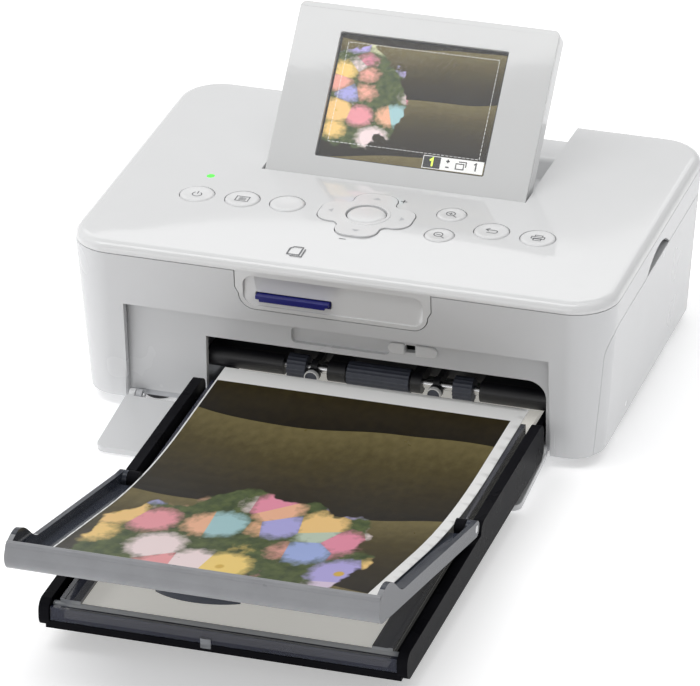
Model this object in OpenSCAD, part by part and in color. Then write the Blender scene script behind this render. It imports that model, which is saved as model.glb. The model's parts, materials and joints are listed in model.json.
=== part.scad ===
// Compact photo printer: a white housing with a tilting screen, control buttons, a folding
// front door and an ink door, and a postcard cassette with its output tray slid in from the
// front. Each sub-part is a module that returns its solids in the printer's own frame:
// +X to the right, +Y to the rear, +Z up, with z = 0 on the table. place() then moves every
// sub-part so that the origin is the middle of the whole part's footprint.

/* [Body] */
// Width of the housing
body_w = 178; // [174:1:186]
// Depth of the housing
body_l = 127; // [125:1:134]
// Height to the top of the crown
body_h = 60.5; // [59:0.5:64]
// Plan radius of the housing's corners
corner_r = 14.5; // [11:0.5:16]
// How far the walls lean in for each millimetre down
draft = 0.074; // [0.05:0.002:0.08]
// Thickness of the housing's walls
wall_t = 2.4; // [2:0.1:2.6]
// Height of the top cover above its seam
cover_h = 4.7; // [4.4:0.1:5.2]
// Radius of the top cover's upper edge
edge_r = 3.2; // [2.4:0.2:3.6]
// Rise of the top cover from its edge to its middle
crown = 1.4; // [0.8:0.1:1.8]
// Gap between neighbouring housing pieces
seam_gap = 0.3; // [0.2:0.05:0.4]
// Height of the rubber feet
foot_h = 3.5; // [3:0.5:4]
// Radius of the rubber feet
foot_r = 5.5; // [4:0.5:7]

/* [Controls] */
// Radius of the round buttons
button_r = 5.6; // [5:0.1:6]
// Radius of the two zoom buttons
zoom_r = 4.7; // [4.2:0.1:5]
// Radius of the middle button
ok_r = 6.1; // [5.6:0.1:6.4]
// How far a button travels
button_travel = 0.8; // [0.5:0.1:1]
// Front-to-back place of the button row
row_y = -23.4; // [-25:0.2:-22]
// Left-to-right place of the middle button
ok_x = -1.2; // [-3:0.2:1]
// Radius of each lobe of the direction pad
lobe_r = 7; // [6.4:0.1:7.4]
// Distance of each lobe from the pad's middle
lobe_d = 8.4; // [7.8:0.1:8.8]
// Radius of the status light
led_r = 1.3; // [1:0.1:1.6]

/* [Screen] */
// Width of the screen panel
panel_w = 87.2; // [84:0.2:90]
// Length of the screen panel from its pivot edge
panel_l = 62; // [58:0.5:62.5]
// Thickness of the screen panel
panel_t = 6.6; // [6:0.2:7]
// How far the screen is tilted up at rest
panel_tilt = 46.6; // [30:0.2:60]
// Width of the picture area
lcd_w = 55.2; // [50:0.2:60]
// Height of the picture area
lcd_h = 41.4; // [36:0.2:44]
// Distance from the pivot edge to the picture area
lcd_v = 11; // [10:0.5:12]
// Radius of the screen's pivot pins
screen_pin_r = 1.5; // [1.2:0.1:1.8]

/* [Doors] */
// How far the front door stays inside the side of the housing
door_side = 19.5; // [19:0.5:21]
// Height of the top of the front door's recess
door_top = 37.6; // [36:0.2:39]
// Thickness of both doors' plates
door_t = 2.2; // [1.8:0.1:2.4]
// How far the front door droops below level at rest
door_droop = 6; // [4:0.5:6]
// Set-back of the panel behind the front door
bezel_in = 6.3; // [6.2:0.1:6.6]
// Height of the ink door's top edge
ink_top = 46.4; // [45:0.2:47]
// Radius of the doors' hinge pins
hinge_r = 1; // [0.8:0.1:1.1]

/* [Cassette] */
// Room at each side of the paper, out to the rails' outer faces
cas_side = 7; // [6:0.25:7.5]
// Length of the cassette
cas_l = 178; // [170:1:184]
// The same in the part of the cassette that enters the printer
cas_in_side = 3.5; // [3:0.25:4]
// Left-to-right place of the paper path
path_x = 13.2; // [12:0.2:13.6]
// How far the cassette reaches in front of the housing
cas_out = 149.5; // [145:0.5:155]
// Height of the cassette's underside
cas_z = 7.5; // [7.4:0.1:8]
// Height of the side rails
rail_h = 12.4; // [12:0.2:12.6]
// Width of a postcard sheet
paper_w = 100; // [89:1:100]
// Length of a postcard sheet with its tear-off strips
paper_l = 172; // [160:1:173]
// Height of the paper stack
stack_h = 2; // [1:0.2:2]

/* [Output tray] */
// Distance from the housing to the tray's pivot
tray_out = 77.5; // [74:0.5:80]
// Length of the tray from its pivot
tray_l = 101.6; // [96:0.2:104]
// Slope of the tray at rest
tray_tilt = 13.2; // [11:0.2:14]
// Wall thickness of the tray
tray_t = 1.6; // [1.2:0.1:2]
// Height of the tray's front lip above its floor
lip_h = 8; // [7:0.2:10]
// Height of the hump at each end of the lip
hump_h = 11; // [10:0.2:13]

/* [Drive] */
// Radius of the feed rollers
feed_r = 4; // [3.6:0.1:4.1]
// Radius of the feed shaft
shaft_r = 1.5; // [1.3:0.1:1.6]
// Radius of the platen roller
platen_r = 6; // [5:0.2:6.2]
// Size of the gear teeth (pitch diameter per tooth)
gear_m = 0.6; // [0.58:0.01:0.61]
// Thickness of the gears
gear_t = 3; // [2.4:0.1:3.4]

/* [Hidden] */
door_hw = body_w / 2 - door_side;
cas_w = paper_w + 2 * cas_side;
cas_in_w = paper_w + 2 * cas_in_side;
$fn = 64;
hull_fn = 32;
eps = 0.01;
// Clearance of a pin in the piece that turns on it, and of a shaft in what is fixed to it
run_gap = 0.05;
snug_gap = 0.02;

// Heights of the housing
shell_z = foot_h;
seam_z = body_h - cover_h;
ceiling_z = seam_z + 1.3;
// Thickness of the base pan and height of its upper face
pan_t = 1.8;
pan_z = shell_z + 0.1 + pan_t;
// Front and rear of the housing at its widest
front_y = -body_l / 2;
rear_y = body_l / 2;

// Cassette, from its front end to its inner end
cas_y0 = front_y - cas_out;
cas_y1 = cas_y0 + cas_l;
rail_z = cas_z + rail_h;
low_rail_z = rail_z - 3.6;
in_rail_z = cas_z + 5.9;
floor_t = 1.6;
lift_t = 0.8;
paper_z = cas_z + floor_t + lift_t;
cover_z = rail_z - 1.2;

// Tray pivot
tray_py = front_y - tray_out;
tray_pz = rail_z + 0.6;
tray_boss_r = 2.6;
tray_pin_r = 1.2;
side_h = 4.9;
lip_r = 5;
lip_lean = 0.8;
hump_d = 8.5;
tab_r = 18.9;
bead_r = 1.1;

// Screen pivot: the panel's lower edge is a half round about it
well_y = -0.3;
panel_gap = 0.5;
panel_x = 0.4;
pivot_r = panel_t / 2;
screen_py = well_y + panel_gap + pivot_r;
screen_pz = top_z(0, well_y) - pivot_r - 0.1;
well_hw = panel_w / 2 + 0.6;
well_wall = 1.8;
well_floor_z = body_h - 13.9;
shelf_z = screen_pz - pivot_r - 1.2;
shelf_y = rear_y - 17.5;
face_t = 1.5;

// Front door
door_z = foot_h + 1.5;
door_y = front_y + 3.2;
door_l = door_top - door_z - 0.3;
bezel_y = front_y + bezel_in;
bezel_t = 2.2;
mouth_x0 = path_x - cas_in_w / 2 - 3.7;
mouth_x1 = path_x + cas_in_w / 2 + 1.1;
mouth_top = 27.8;

// Ink door
ink_y0 = front_y + 8;
ink_y1 = rear_y - 13.5;
ink_px = side_x(foot_h) - wall_t - 2.2;
ink_pz = foot_h + 3.5;
barrel_r = hinge_r + 0.9;
barrel_l = 6;

// Card
card_w = 24;
card_l = 32;
card_t = 2.1;
card_x = -13;
card_z = seam_z - 8.5;
card_out = 1.6;

// Drive: centres as [y, z]
feed_c = [front_y + 13.5, cas_z + 10.3];
platen_c = [feed_c[0] + 59, cas_z + 7.5];
idler_teeth = 40;
transfer_teeth = 38;
platen_teeth = 30;
feed_teeth = 14;
pinion_teeth = 12;
backlash = 0.09;
function pitch_r(n) = n * gear_m / 2;
idler_c = feed_c + (pitch_r(idler_teeth) + pitch_r(feed_teeth)) * [cos(22), sin(22)];
transfer_c = meet(idler_c, pitch_r(idler_teeth) + pitch_r(transfer_teeth), platen_c,
                  pitch_r(transfer_teeth) + pitch_r(platen_teeth));
pinion_c = idler_c + (pitch_r(idler_teeth) + pitch_r(pinion_teeth)) * [cos(62), sin(62)];
plate_t = 1.6;
plate_x0 = mouth_x0 - 1.2 - plate_t;
plate_x1 = mouth_x1 + 1.5;
gear_x = plate_x0 - 0.6 - gear_t;
motor_x = gear_x - 1;
motor_r = 9;
motor_shaft_r = 1;
// Posts that the loose gears and the print head turn on
post_r = 1.5;
plate_top = well_floor_z - 3.2;

// Ink cassette: centres of its two chambers as [y, z]
chamber_r = 8.6;
chamber_t = 1;
take_c = [platen_c[0] - 21.5, plate_top - 12];
supply_c = [platen_c[0] + 21.5, plate_top - 12];
spool_x0 = path_x - paper_w / 2 - 0.7;
spool_x1 = path_x + paper_w / 2 + 0.7;
spool_r = 6.6;
hub_r = 2.2;
head_py = platen_c[0] + 35;
head_pz = plate_top - 3.2;
head_bottom = platen_c[1] + platen_r + 0.6;

// Where two circles about a and b meet, on the upper side
function meet(a, ra, b, rb) =
    let (d = norm(b - a), u = (b - a) / d, s = (d * d + ra * ra - rb * rb) / (2 * d))
    a + s * u + sqrt(max(0, ra * ra - s * s)) * [-u[1], u[0]];
// Outer face of the side wall at a height, and how far the walls have leaned in there
function lean(z) = draft * max(0, seam_z - z);
function side_x(z) = body_w / 2 - lean(z);
// Height of the top cover's surface above a point
function top_z(x, y) =
    let (i = min(body_w / 2 - abs(x), body_l / 2 - abs(y)))
    body_h - crown * pow(1 - i / (body_l / 2), 2);

// Furthest point in front: the round of the tray's lip
tray_reach = tray_py - (tray_l - lip_r) * cos(tray_tilt) + (lip_r - tray_boss_r) * sin(tray_tilt) - lip_r;
module place() translate([0, -(tray_reach + rear_y) / 2, 0]) children();

// One level of the housing: four corner discs, pulled in from the widest outline
module ring(inset, z, t = eps) {
    r = max(corner_r - inset, 2);
    c = r + inset;
    for (sx = [-1, 1], sy = [-1, 1])
        translate([sx * (body_w / 2 - c), sy * (body_l / 2 - c), z])
            cylinder(r = r, h = t, $fn = hull_fn);
}

// The housing's leaning outline between two heights
module block(z0, z1, inset) {
    hull() {
        ring(lean(z0) + inset, z0);
        ring(lean(z1) + inset, z1 - eps);
    }
}

// Rectangle with exact round corners, from one corner to the other
module rrect(x0, y0, x1, y1, r) {
    translate([x0 + r, y0]) square([x1 - x0 - 2 * r, y1 - y0]);
    translate([x0, y0 + r]) square([x1 - x0, y1 - y0 - 2 * r]);
    for (x = [x0 + r, x1 - r], y = [y0 + r, y1 - r])
        translate([x, y]) circle(r = r);
}

// A box from one corner to the other
module span(a, b) translate(a) cube(b - a);

// Children as drawn on the right, and mirrored on the left
module both_sides() {
    children();
    mirror([1, 0, 0]) children();
}

// Extrude a y-z outline along x, from x0 to x1
module along_x(x0, x1) translate([x0, 0, 0]) rotate([90, 0, 90]) linear_extrude(x1 - x0) children();

// Extrude an x-z outline along y, from y0 to y1
module along_y(y0, y1) translate([0, y1, 0]) rotate([90, 0, 0]) linear_extrude(y1 - y0) children();

// A cylinder along x or y between two ends
module rod_x(x0, x1, c, r) translate([x0, c[0], c[1]]) rotate([0, 90, 0]) cylinder(r = r, h = x1 - x0);
module rod_y(y0, y1, c, r) translate([c[0], y0, c[1]]) rotate([-90, 0, 0]) cylinder(r = r, h = y1 - y0);

// ---------------------------------------------------------------- housing
module base_pan() place() color("whitesmoke") difference() {
    pan_x0 = wall_t + 0.8 - side_x(shell_z);
    pan_x1 = ink_px - 4.2;
    union() {
        translate([0, 0, shell_z + 0.1]) linear_extrude(pan_t)
            rrect(pan_x0, front_y + 7, pan_x1, rear_y - 6.5, 9);
        // Ears for the ink door's pins
        for (y = ink_hinges(), s = [-1, 1])
            translate([0, y + s * (barrel_l / 2 + 1.3), 0]) ear_web(1, pan_x1 - 2);
        // Ears for the front door's pins
        both_sides() along_x(door_hw - 5, door_hw - 3) door_ear();
        // Stiffening ribs
        for (y = [-8, 20, 38]) span([pan_x0 + 6, y - 0.8, pan_z - 0.1],
                                    [motor_x - 5, y + 0.8, pan_z + 1.5]);
    }
    for (y = ink_hinges()) rod_y(y - barrel_l, y + barrel_l, [ink_px, ink_pz], hinge_r + run_gap);
    rod_x(-door_hw, door_hw, [door_y, door_z], hinge_r + run_gap);
    // Air slots
    for (i = [0:5]) span([-60 + i * 6, -40, shell_z - 1], [-57 + i * 6, -15, pan_z + 1]);
}
function ink_hinges() = [ink_y0 + 22, ink_y1 - 22];

// One ear of the ink door's hinge and the web that carries it
module ear_web(half, x0) {
    rod_y(-half, half, [ink_px, ink_pz], barrel_r);
    span([x0, -half, ink_pz - barrel_r], [ink_px, half, ink_pz + barrel_r]);
}

module door_ear() {
    translate([door_y, door_z]) circle(r = hinge_r + 0.9);
    translate([door_y, shell_z + 0.1]) square([5, pan_t]);
    translate([door_y, door_z - hinge_r - 0.4]) square([5, 2]);
}

module rubber_feet() place() color("dimgray")
    for (sx = [-1, 1], sy = [-1, 1]) translate([sx * (body_w / 2 - 26), sy * (body_l / 2 - 16), 0])
        rotate_extrude() difference() {
            square([foot_r, shell_z + 0.1]);
            translate([foot_r, 0]) rotate(45) square(1.2, center = true);
        }

// Outline of the tongue that hangs from the top cover over the card slot
module tongue_outline(grow) {
    r = 5 + grow;
    x0 = -32 - grow;
    x1 = 32 + grow;
    z0 = seam_z - 13.2 - grow;
    translate([x0, seam_z - 6]) square([x1 - x0, 6 + 1]);
    rrect(x0 + 1.2, z0, x1 - 1.2, seam_z, r);
    polygon([[x0, seam_z], [x1, seam_z], [x1, seam_z - 6], [x1 - 1.2, z0 + r],
             [x0 + 1.2, z0 + r], [x0, seam_z - 6]]);
}

// Outline of the ink door, as y and z
module ink_outline(grow) {
    r = 9;
    y0 = ink_y0 - grow;
    y1 = ink_y1 + grow;
    z1 = ink_top + grow;
    translate([y0 + r, shell_z - 2]) square([y1 - y0 - r, z1 - shell_z + 2]);
    translate([y0, shell_z - 2]) square([r + 1, z1 - r - shell_z + 2]);
    translate([y0 + r, z1 - r]) circle(r = r);
}

module main_shell() place() color("gainsboro") difference() {
    union() {
        difference() {
            block(shell_z, seam_z - seam_gap, 0);
            block(shell_z - 1, seam_z + 1, wall_t);
        }
        // Step that the front panel seats on, round the front recess
        both_sides() span([door_hw + 0.6, bezel_y - 3.2, shell_z + 0.6],
                          [door_hw + 2, bezel_y - 0.3, door_top + 1.5]);
    }
    // Front recess
    span([-door_hw - 0.3, front_y - 1, shell_z - 1], [door_hw + 0.3, bezel_y + 4, door_top + 0.3]);
    // Tongue's notch
    along_y(front_y - 1, front_y + 8) tongue_outline(seam_gap);
    // Ink door
    along_x(side_x(shell_z) - 8, body_w / 2 + 1) ink_outline(seam_gap);
    // Thumb notch above the ink door
    along_x(side_x(ink_top) - 6, body_w / 2 + 1) thumb_outline(0);
    // Screen well and its shelf at the rear
    span([panel_x - well_hw - well_wall - 0.3, rear_y - 8, shelf_z - well_wall - 0.3],
         [panel_x + well_hw + well_wall + 0.3, rear_y + 1, seam_z + 1]);
    // Rear paper slot and sockets
    along_y(rear_y - 8, rear_y + 1) {
        rrect(rear_slot()[0], rear_slot()[2], rear_slot()[1], rear_slot()[3], 1.2);
        translate([dc_x(), socket_z()]) circle(r = dc_r() + 0.2);
        translate([usb_x(), socket_z()]) rrect(-usb_hw - 0.4, -usb_hh - 0.4, usb_hw + 0.4, usb_hh + 0.4, 1);
    }
}
function rear_slot() =
    [path_x - paper_w / 2 - 3, path_x + paper_w / 2 + 3, platen_c[1] - 1.6, platen_c[1] + 4.2];
usb_hw = 6;
dc_bore_r = 2.9;
usb_hh = 5.6;
function dc_x() = 15.5 - body_w / 2;
function dc_r() = 4.6;
function usb_x() = 32.5 - body_w / 2;
function socket_z() = 18;

// Arched thumb notch, as y and z
module thumb_outline(grow) {
    translate([-0.2, ink_top + 0.2]) intersection() {
        translate([0, -20 + 5.4]) circle(r = 20 + grow, $fn = 128);
        translate([-14 - grow, -grow]) square([28 + 2 * grow, 8]);
    }
}

// Ribbed piece behind the thumb notch is part of the ink door's top edge
module thumb_tab() {
    x = side_x(ink_top);
    difference() {
        along_x(x - 5.2, x - 2.6) translate([0, -3]) thumb_outline(-0.6);
        for (i = [-5:5]) span([x - 3.2, i * 2.2 - 0.4, ink_top], [x, i * 2.2 + 0.4, ink_top + 8]);
    }
    span([x - 5.2, -12, ink_top - 8], [x - wall_t - 0.2, 12, ink_top - 2.4]);
}

module top_cover() place() color("white") difference() {
    well_x0 = panel_x - well_hw;
    well_x1 = panel_x + well_hw;
    union() {
        difference() {
            cover_outer();
            hull() {
                ring(wall_t, seam_z - 1);
                ring(wall_t, ceiling_z);
            }
        }
        // Lip that locates the cover in the shell
        difference() {
            block(seam_z - 2.2, seam_z + 0.6, wall_t + 0.25);
            block(seam_z - 3, seam_z + 1, wall_t + 1.45);
            span([-body_w, front_y - 1, seam_z - 4], [body_w, front_y + 10, seam_z + seam_gap]);
        }
        // Tongue over the card slot
        intersection() {
            difference() {
                block(seam_z - 16, seam_z + 0.6, 0);
                block(seam_z - 18, seam_z + 1, wall_t);
            }
            along_y(front_y - 1, front_y + 8) tongue_outline(0);
        }
        // Screen well
        span([well_x0 - well_wall, well_y - well_wall, well_floor_z - well_wall],
             [well_x1 + well_wall, shelf_y + well_wall, ceiling_z + 0.2]);
        span([well_x0 - well_wall, shelf_y, shelf_z - well_wall],
             [well_x1 + well_wall, rear_y - 0.45, ceiling_z + 0.2]);
        // Posts that carry the button board
        for (p = board_posts()) translate([p[0], p[1], board_z()])
            cylinder(r = 1.6, h = ceiling_z - board_z() + 0.2);
    }
    // Well: deep in front, a shelf behind, open at the rear
    span([well_x0, well_y, well_floor_z], [well_x1, shelf_y, body_h + 1]);
    span([well_x0, shelf_y - 1, shelf_z], [well_x1, rear_y + 1, body_h + 1]);
    // Bores for the screen's pivot pins
    rod_x(well_x0 - well_wall - 1, well_x1 + well_wall + 1, [screen_py, screen_pz], screen_pin_r + run_gap);
    // Control holes
    for (b = buttons()) translate([b[0], b[1], seam_z]) cylinder(r = b[2] + 0.25, h = 8);
    translate([ok_x, row_y, seam_z]) linear_extrude(8) pad_outline(0.3);
    translate([led_p()[0], led_p()[1], seam_z]) cylinder(r = led_r + 0.05, h = 8);
    // Card slot and the shallow dish round it
    along_y(front_y - 1, front_y + 6)
        rrect(card_x - card_w / 2 - 0.5, card_z - 1.4, card_x + card_w / 2 + 0.5, card_z + 1.4, 0.4);
    along_y(front_y - 2, front_y + 1.15) rrect(-29.5, seam_z - 11.8, 29.5, seam_z - 1.4, 3.5);
}

// Outer form of the top cover: a rounded edge, then a crown that rises to the middle
module cover_outer() hull() {
    half = body_l / 2;
    ring(0, seam_z);
    for (a = [0:15:90]) ring(edge_r * (1 - cos(a)), body_h - crown - edge_r * (1 - sin(a)));
    for (k = [0.15:0.17:1]) ring(edge_r + (half - edge_r - 2) * k,
                                 body_h - crown * pow(1 - (edge_r + (half - edge_r) * k) / half, 2));
}

// Round controls: x, y, radius
function buttons() = [
    [ok_x - 56.5, row_y - 0.2, button_r],
    [ok_x - 41.4, row_y + 0.1, button_r],
    [ok_x - 26.6, row_y + 0.8, button_r],
    [ok_x + 25.8, row_y + 8, zoom_r],
    [ok_x + 26.1, row_y - 6.8, zoom_r],
    [ok_x + 41.2, row_y + 0.3, button_r],
    [ok_x + 56.4, row_y - 0.1, button_r]];
function led_p() = [ok_x - 56.6, row_y + 13.7];
function board_z() = seam_z - 4.4;
function board_posts() = [for (x = [-64, -20, 18, 60]) for (y = [row_y - 14, row_y + 15]) [x, y]];

// Four-lobed outline of the direction pad, about its own middle
module pad_outline(grow) {
    reach = lobe_d + lobe_r + grow;
    corner = 5 + grow;
    notch = 2.5 - grow;
    for (a = [0, 90]) rotate(a) rrect(-reach, -lobe_r - grow, reach, lobe_r + grow, corner);
    // Filleted inner corners
    for (a = [0:90:270]) rotate(a) translate([lobe_r + grow, lobe_r + grow]) difference() {
        translate([-eps, -eps]) square(notch + eps);
        translate([notch, notch]) circle(r = notch);
    }
}

module front_panel() place() color("gainsboro") difference() {
    span([-door_hw - 1.6, bezel_y, shell_z + 2.3], [door_hw + 1.6, bezel_y + bezel_t, door_top + 2]);
    // Mouth for the cassette and the prints
    along_y(bezel_y - 1, bezel_y + 4) {
        translate([mouth_x0, shell_z]) square([mouth_x1 - mouth_x0 - 6, mouth_top - shell_z]);
        translate([mouth_x0 + 20, shell_z]) square([mouth_x1 - mouth_x0 - 20, mouth_top - shell_z - 6]);
        translate([mouth_x1 - 6, mouth_top - 6]) circle(r = 6);
    }
    // Grip recess over the mouth, and the catch's slot
    along_y(bezel_y - 1, bezel_y + 1.5) rrect(-15.6, mouth_top + 2, 16.6, door_top - 2.4, 1.5);
    along_y(bezel_y - 1, bezel_y + 4) rrect(21.9, mouth_top + 4, 25.3, mouth_top + 6.6, 0.4);
}

// ---------------------------------------------------------------- frame and guides
module chassis() place() color("lightsteelblue") difference() {
    union() {
        for (x = [plate_x0, plate_x1]) along_x(x, x + plate_t) side_plate();
        span([plate_x0, head_py + 5, shell_z + 4], [plate_x1 + plate_t, head_py + 6.6, platen_c[1] - 2.4]);
        span([plate_x0, head_py + 5, platen_c[1] + 5], [plate_x1 + plate_t, head_py + 6.6, plate_top - 6]);
        // Feet of the plates on the base pan
        for (y = [-40, 30]) {
            span([plate_x0 - 3, y, pan_z], [plate_x0 + 0.1, y + 8, pan_z + 1.2]);
            span([plate_x1 + plate_t - 0.1, y, pan_z], [plate_x1 + plate_t + 3, y + 8, pan_z + 1.2]);
        }
        // Posts for the two gears between the feed shaft and the platen
        for (c = [idler_c, transfer_c]) rod_x(gear_x - 0.8, plate_x0 + 0.1, c, post_r);
    }
    for (c = [feed_c, platen_c]) rod_x(plate_x0 - 1, plate_x1 + 4, c, shaft_r + run_gap);
    rod_x(plate_x0 - 1, plate_x1 + 4, [head_py, head_pz], post_r + run_gap);
    // Window that the ink cassette goes in through
    span([plate_x1 - 1, take_c[0] - chamber_r - 1, take_c[1] - chamber_r - 0.9],
         [plate_x1 + 3, supply_c[0] + chamber_r + 1, supply_c[1] + chamber_r + 0.6]);
}
module side_plate() {
    translate([front_y + 9.4, pan_z]) square([head_py + 6.6 - front_y - 9.4, plate_top - shell_z - 8]);
    translate([front_y + 24, pan_z]) square([head_py + 6.6 - front_y - 24, plate_top - shell_z - 1.9]);
}

module exit_guide() place() color("#202024") difference() {
    union() {
        span([plate_x0 + plate_t + 0.1, bezel_y + 3, mouth_top + 1],
             [plate_x1 - 0.1, feed_c[0] + 9, mouth_top + 2.6]);
        span([plate_x0 + plate_t + 0.1, feed_c[0] + 7.4, cas_z + 9.2],
             [plate_x1 - 0.1, feed_c[0] + 9, mouth_top + 1.2]);
        for (s = guide_sleeves()) {
            rod_x(s[0], s[1], feed_c, 3.4);
            span([s[0], feed_c[0], feed_c[1] - 0.6], [s[1], feed_c[0] + 7.6, feed_c[1] + 3.2]);
        }
        // Round bearing faces in front of the shaft
        for (x = [-9.9, 30.5]) {
            rod_x(x - 1, x + 1, feed_c, 2.9);
            rod_y(feed_c[0] - 5.2, feed_c[0] - 1.8, [x, feed_c[1] - 0.9], 2.3);
            span([x - 1, feed_c[0], feed_c[1] - 0.4], [x + 1, feed_c[0] + 7.6, feed_c[1] + 2]);
        }
    }
    rod_x(plate_x0, plate_x1 + 1, feed_c, shaft_r + run_gap);
}
function guide_sleeves() =
    [[plate_x0 + plate_t + 0.1, -19.9], [-5.3, 0.6], [22.2, 25.6], [44.8, plate_x1 - 0.1]];

// ---------------------------------------------------------------- screen
// Put children, drawn as [x, along the panel, off its face], at the screen's pivot
module at_screen() translate([panel_x, screen_py, screen_pz]) rotate([panel_tilt, 0, 0]) children();

module panel_plan(inset, v0) {
    hw = panel_w / 2 - inset;
    rrect(-hw, v0, hw, panel_l - pivot_r - inset, 2);
}
module screen_hinge_pins() place() color("silver") translate([panel_x, 0, 0]) both_sides()
    rod_x(well_hw + well_wall - 6.4, well_hw + well_wall, [screen_py, screen_pz], screen_pin_r);

module screen_back() place() color("white") at_screen() difference() {
    intersection() {
        union() {
            rod_x(-panel_w / 2, panel_w / 2, [0, 0], pivot_r);
            span([-panel_w / 2, 0, -pivot_r], [panel_w / 2, panel_l - pivot_r, pivot_r - face_t]);
        }
        translate([0, 0, -pivot_r - 1]) linear_extrude(panel_t + 2) panel_plan(0, -pivot_r - 4);
    }
    // Seat of the face plate over the half round, the display's pocket and the pivot bores
    span([-panel_w, 0.01, pivot_r - face_t], [panel_w, panel_l, pivot_r + 1]);
    span([-lcd_w / 2 - 2.6, lcd_v0() - 2.6, -0.8], [lcd_w / 2 + 2.6, lcd_v0() + lcd_h + 2.6, pivot_r]);
    for (s = [-1, 1]) rod_x(s * panel_w / 2 - 6, s * panel_w / 2 + 6, [0, 0], screen_pin_r + run_gap);
    // Finger groove along the back of the upper edge
    rod_x(-14, 14, [panel_l - pivot_r - 2.4, -pivot_r - 1.2], 2);
}
// Lower edge of the picture area, from the pivot
function lcd_v0() = lcd_v - pivot_r;

module screen_front() place() color("lightgray") at_screen() difference() {
    intersection() {
        translate([0, 0, pivot_r - face_t]) linear_extrude(face_t) panel_plan(0, -4);
        span([-panel_w, 0.01, 0], [panel_w, panel_l, panel_t]);
    }
    translate([0, 0, -1]) linear_extrude(panel_t)
        rrect(-lcd_w / 2 - 0.6, lcd_v0() - 0.6, lcd_w / 2 + 0.6, lcd_v0() + lcd_h + 0.6, 0.6);
}
module lcd_panel() place() color("#333333") at_screen()
    span([-lcd_w / 2 - 2.2, lcd_v0() - 2.2, -0.8],
         [lcd_w / 2 + 2.2, lcd_v0() + lcd_h + 2.2, pivot_r - face_t]);
module screen_window() place() color("#99aabb", 0.5) at_screen()
    translate([0, 0, pivot_r - face_t + 0.02]) linear_extrude(face_t - 0.12)
        rrect(-lcd_w / 2 - 0.5, lcd_v0() - 0.5, lcd_w / 2 + 0.5, lcd_v0() + lcd_h + 0.5, 0.5);

// ---------------------------------------------------------------- controls
module button_board() place() color("seagreen") difference() {
    union() {
        span([-68, row_y - 17, board_z() - 1.6], [64, row_y + 18, board_z()]);
        for (b = buttons()) translate([b[0], b[1], board_z() - 0.1]) cylinder(r = 2.2, h = 1.3);
        translate([ok_x, row_y, board_z() - 0.1]) {
            cylinder(r = 2.2, h = 1.3);
            // Posts under the pad's ring
            for (a = [0:90:270]) rotate(a) translate([4.8, 0])
                cylinder(r = 0.9, h = pad_flange_z - board_z() - 1.8);
        }
    }
    translate([led_p()[0], led_p()[1], 0]) cylinder(r = 0.6, h = 100);
}

module main_board() place() color("seagreen") {
    x = wall_t + 3 - side_x(30);
    span([x, -40, pan_z + 3.1], [x + 1.6, 46, 44]);
    // Chips on the board's inner face
    span([x + 1.6, -16, 22], [x + 3.2, 2, 38]);
    span([x + 1.6, 10, 14], [x + 5.6, 20, 22]);
    // Posts to the base pan
    for (y = [-38, 42]) span([x, y, pan_z], [x + 1.6, y + 4, pan_z + 3.1]);
}

module status_light() place() color("lime") translate([led_p()[0], led_p()[1], 0]) {
    translate([0, 0, board_z()]) cylinder(r = led_r, h = top_z(led_p()[0], led_p()[1]) - board_z() + 0.1);
}

// A push button: cap, captive flange under the cover, and stem to its switch
module push_button(p, r) {
    z1 = top_z(p[0], p[1]) + 0.35;
    stem_z = board_z() + 1.2 + button_travel + 0.2;
    translate([p[0], p[1], 0]) rotate_extrude() {
        polygon([[0, ceiling_z - 0.4], [r, ceiling_z - 0.4], [r, z1 - 0.5], [r - 0.4, z1 - 0.12],
                 [r - 0.9, z1], [r * 0.5, z1 - 0.22], [0, z1 - 0.3]]);
        translate([0, ceiling_z - 1.3]) square([r + 0.9, 1]);
        translate([0, stem_z]) square([1.8, ceiling_z - stem_z - 0.5]);
    }
}
module power_button() place() color("white") push_button(buttons()[0], button_r);
module menu_button() place() color("white") push_button(buttons()[1], button_r);
module edit_button() place() color("white") push_button(buttons()[2], button_r);
module zoom_in_button() place() color("white") push_button(buttons()[3], zoom_r);
module zoom_out_button() place() color("white") push_button(buttons()[4], zoom_r);
module back_button() place() color("white") push_button(buttons()[5], button_r);
module print_button() place() color("white") push_button(buttons()[6], button_r);
module ok_button() place() color("white") {
    z1 = top_z(ok_x, row_y) + 0.5;
    stem_z = board_z() + 1.2 + button_travel + 0.2;
    translate([ok_x, row_y, 0]) rotate_extrude()
        polygon([[0, stem_z], [2, stem_z], [2, z1 - 2], [ok_r, z1 - 2], [ok_r, z1 - 0.5],
                 [ok_r - 0.5, z1 - 0.1], [ok_r - 1, z1], [0, z1 - 0.3]]);
}

pad_flange_z = ceiling_z - 1.7;
module pad_pivot() place() color("dimgray") translate([ok_x, row_y, pad_flange_z - 1.4]) difference() {
    cylinder(r = 6, h = 1);
    translate([0, 0, -1]) cylinder(r = 3.6, h = 3);
}
module nav_pad() place() color("white") translate([ok_x, row_y, 0]) difference() {
    z1 = top_z(ok_x, row_y) + 0.35;
    union() {
        translate([0, 0, ceiling_z - 1]) linear_extrude(z1 - ceiling_z + 1) pad_outline(0);
        translate([0, 0, z1 - 1]) cylinder(r = ok_r + 1.6, h = 1.25);
        translate([0, 0, pad_flange_z]) linear_extrude(0.8) pad_outline(1);
    }
    translate([0, 0, z1 - 2.5 - button_travel]) cylinder(r = ok_r + 0.55, h = 5);
    translate([0, 0, pad_flange_z - 1]) cylinder(r = 2.9, h = 10);
}

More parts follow.
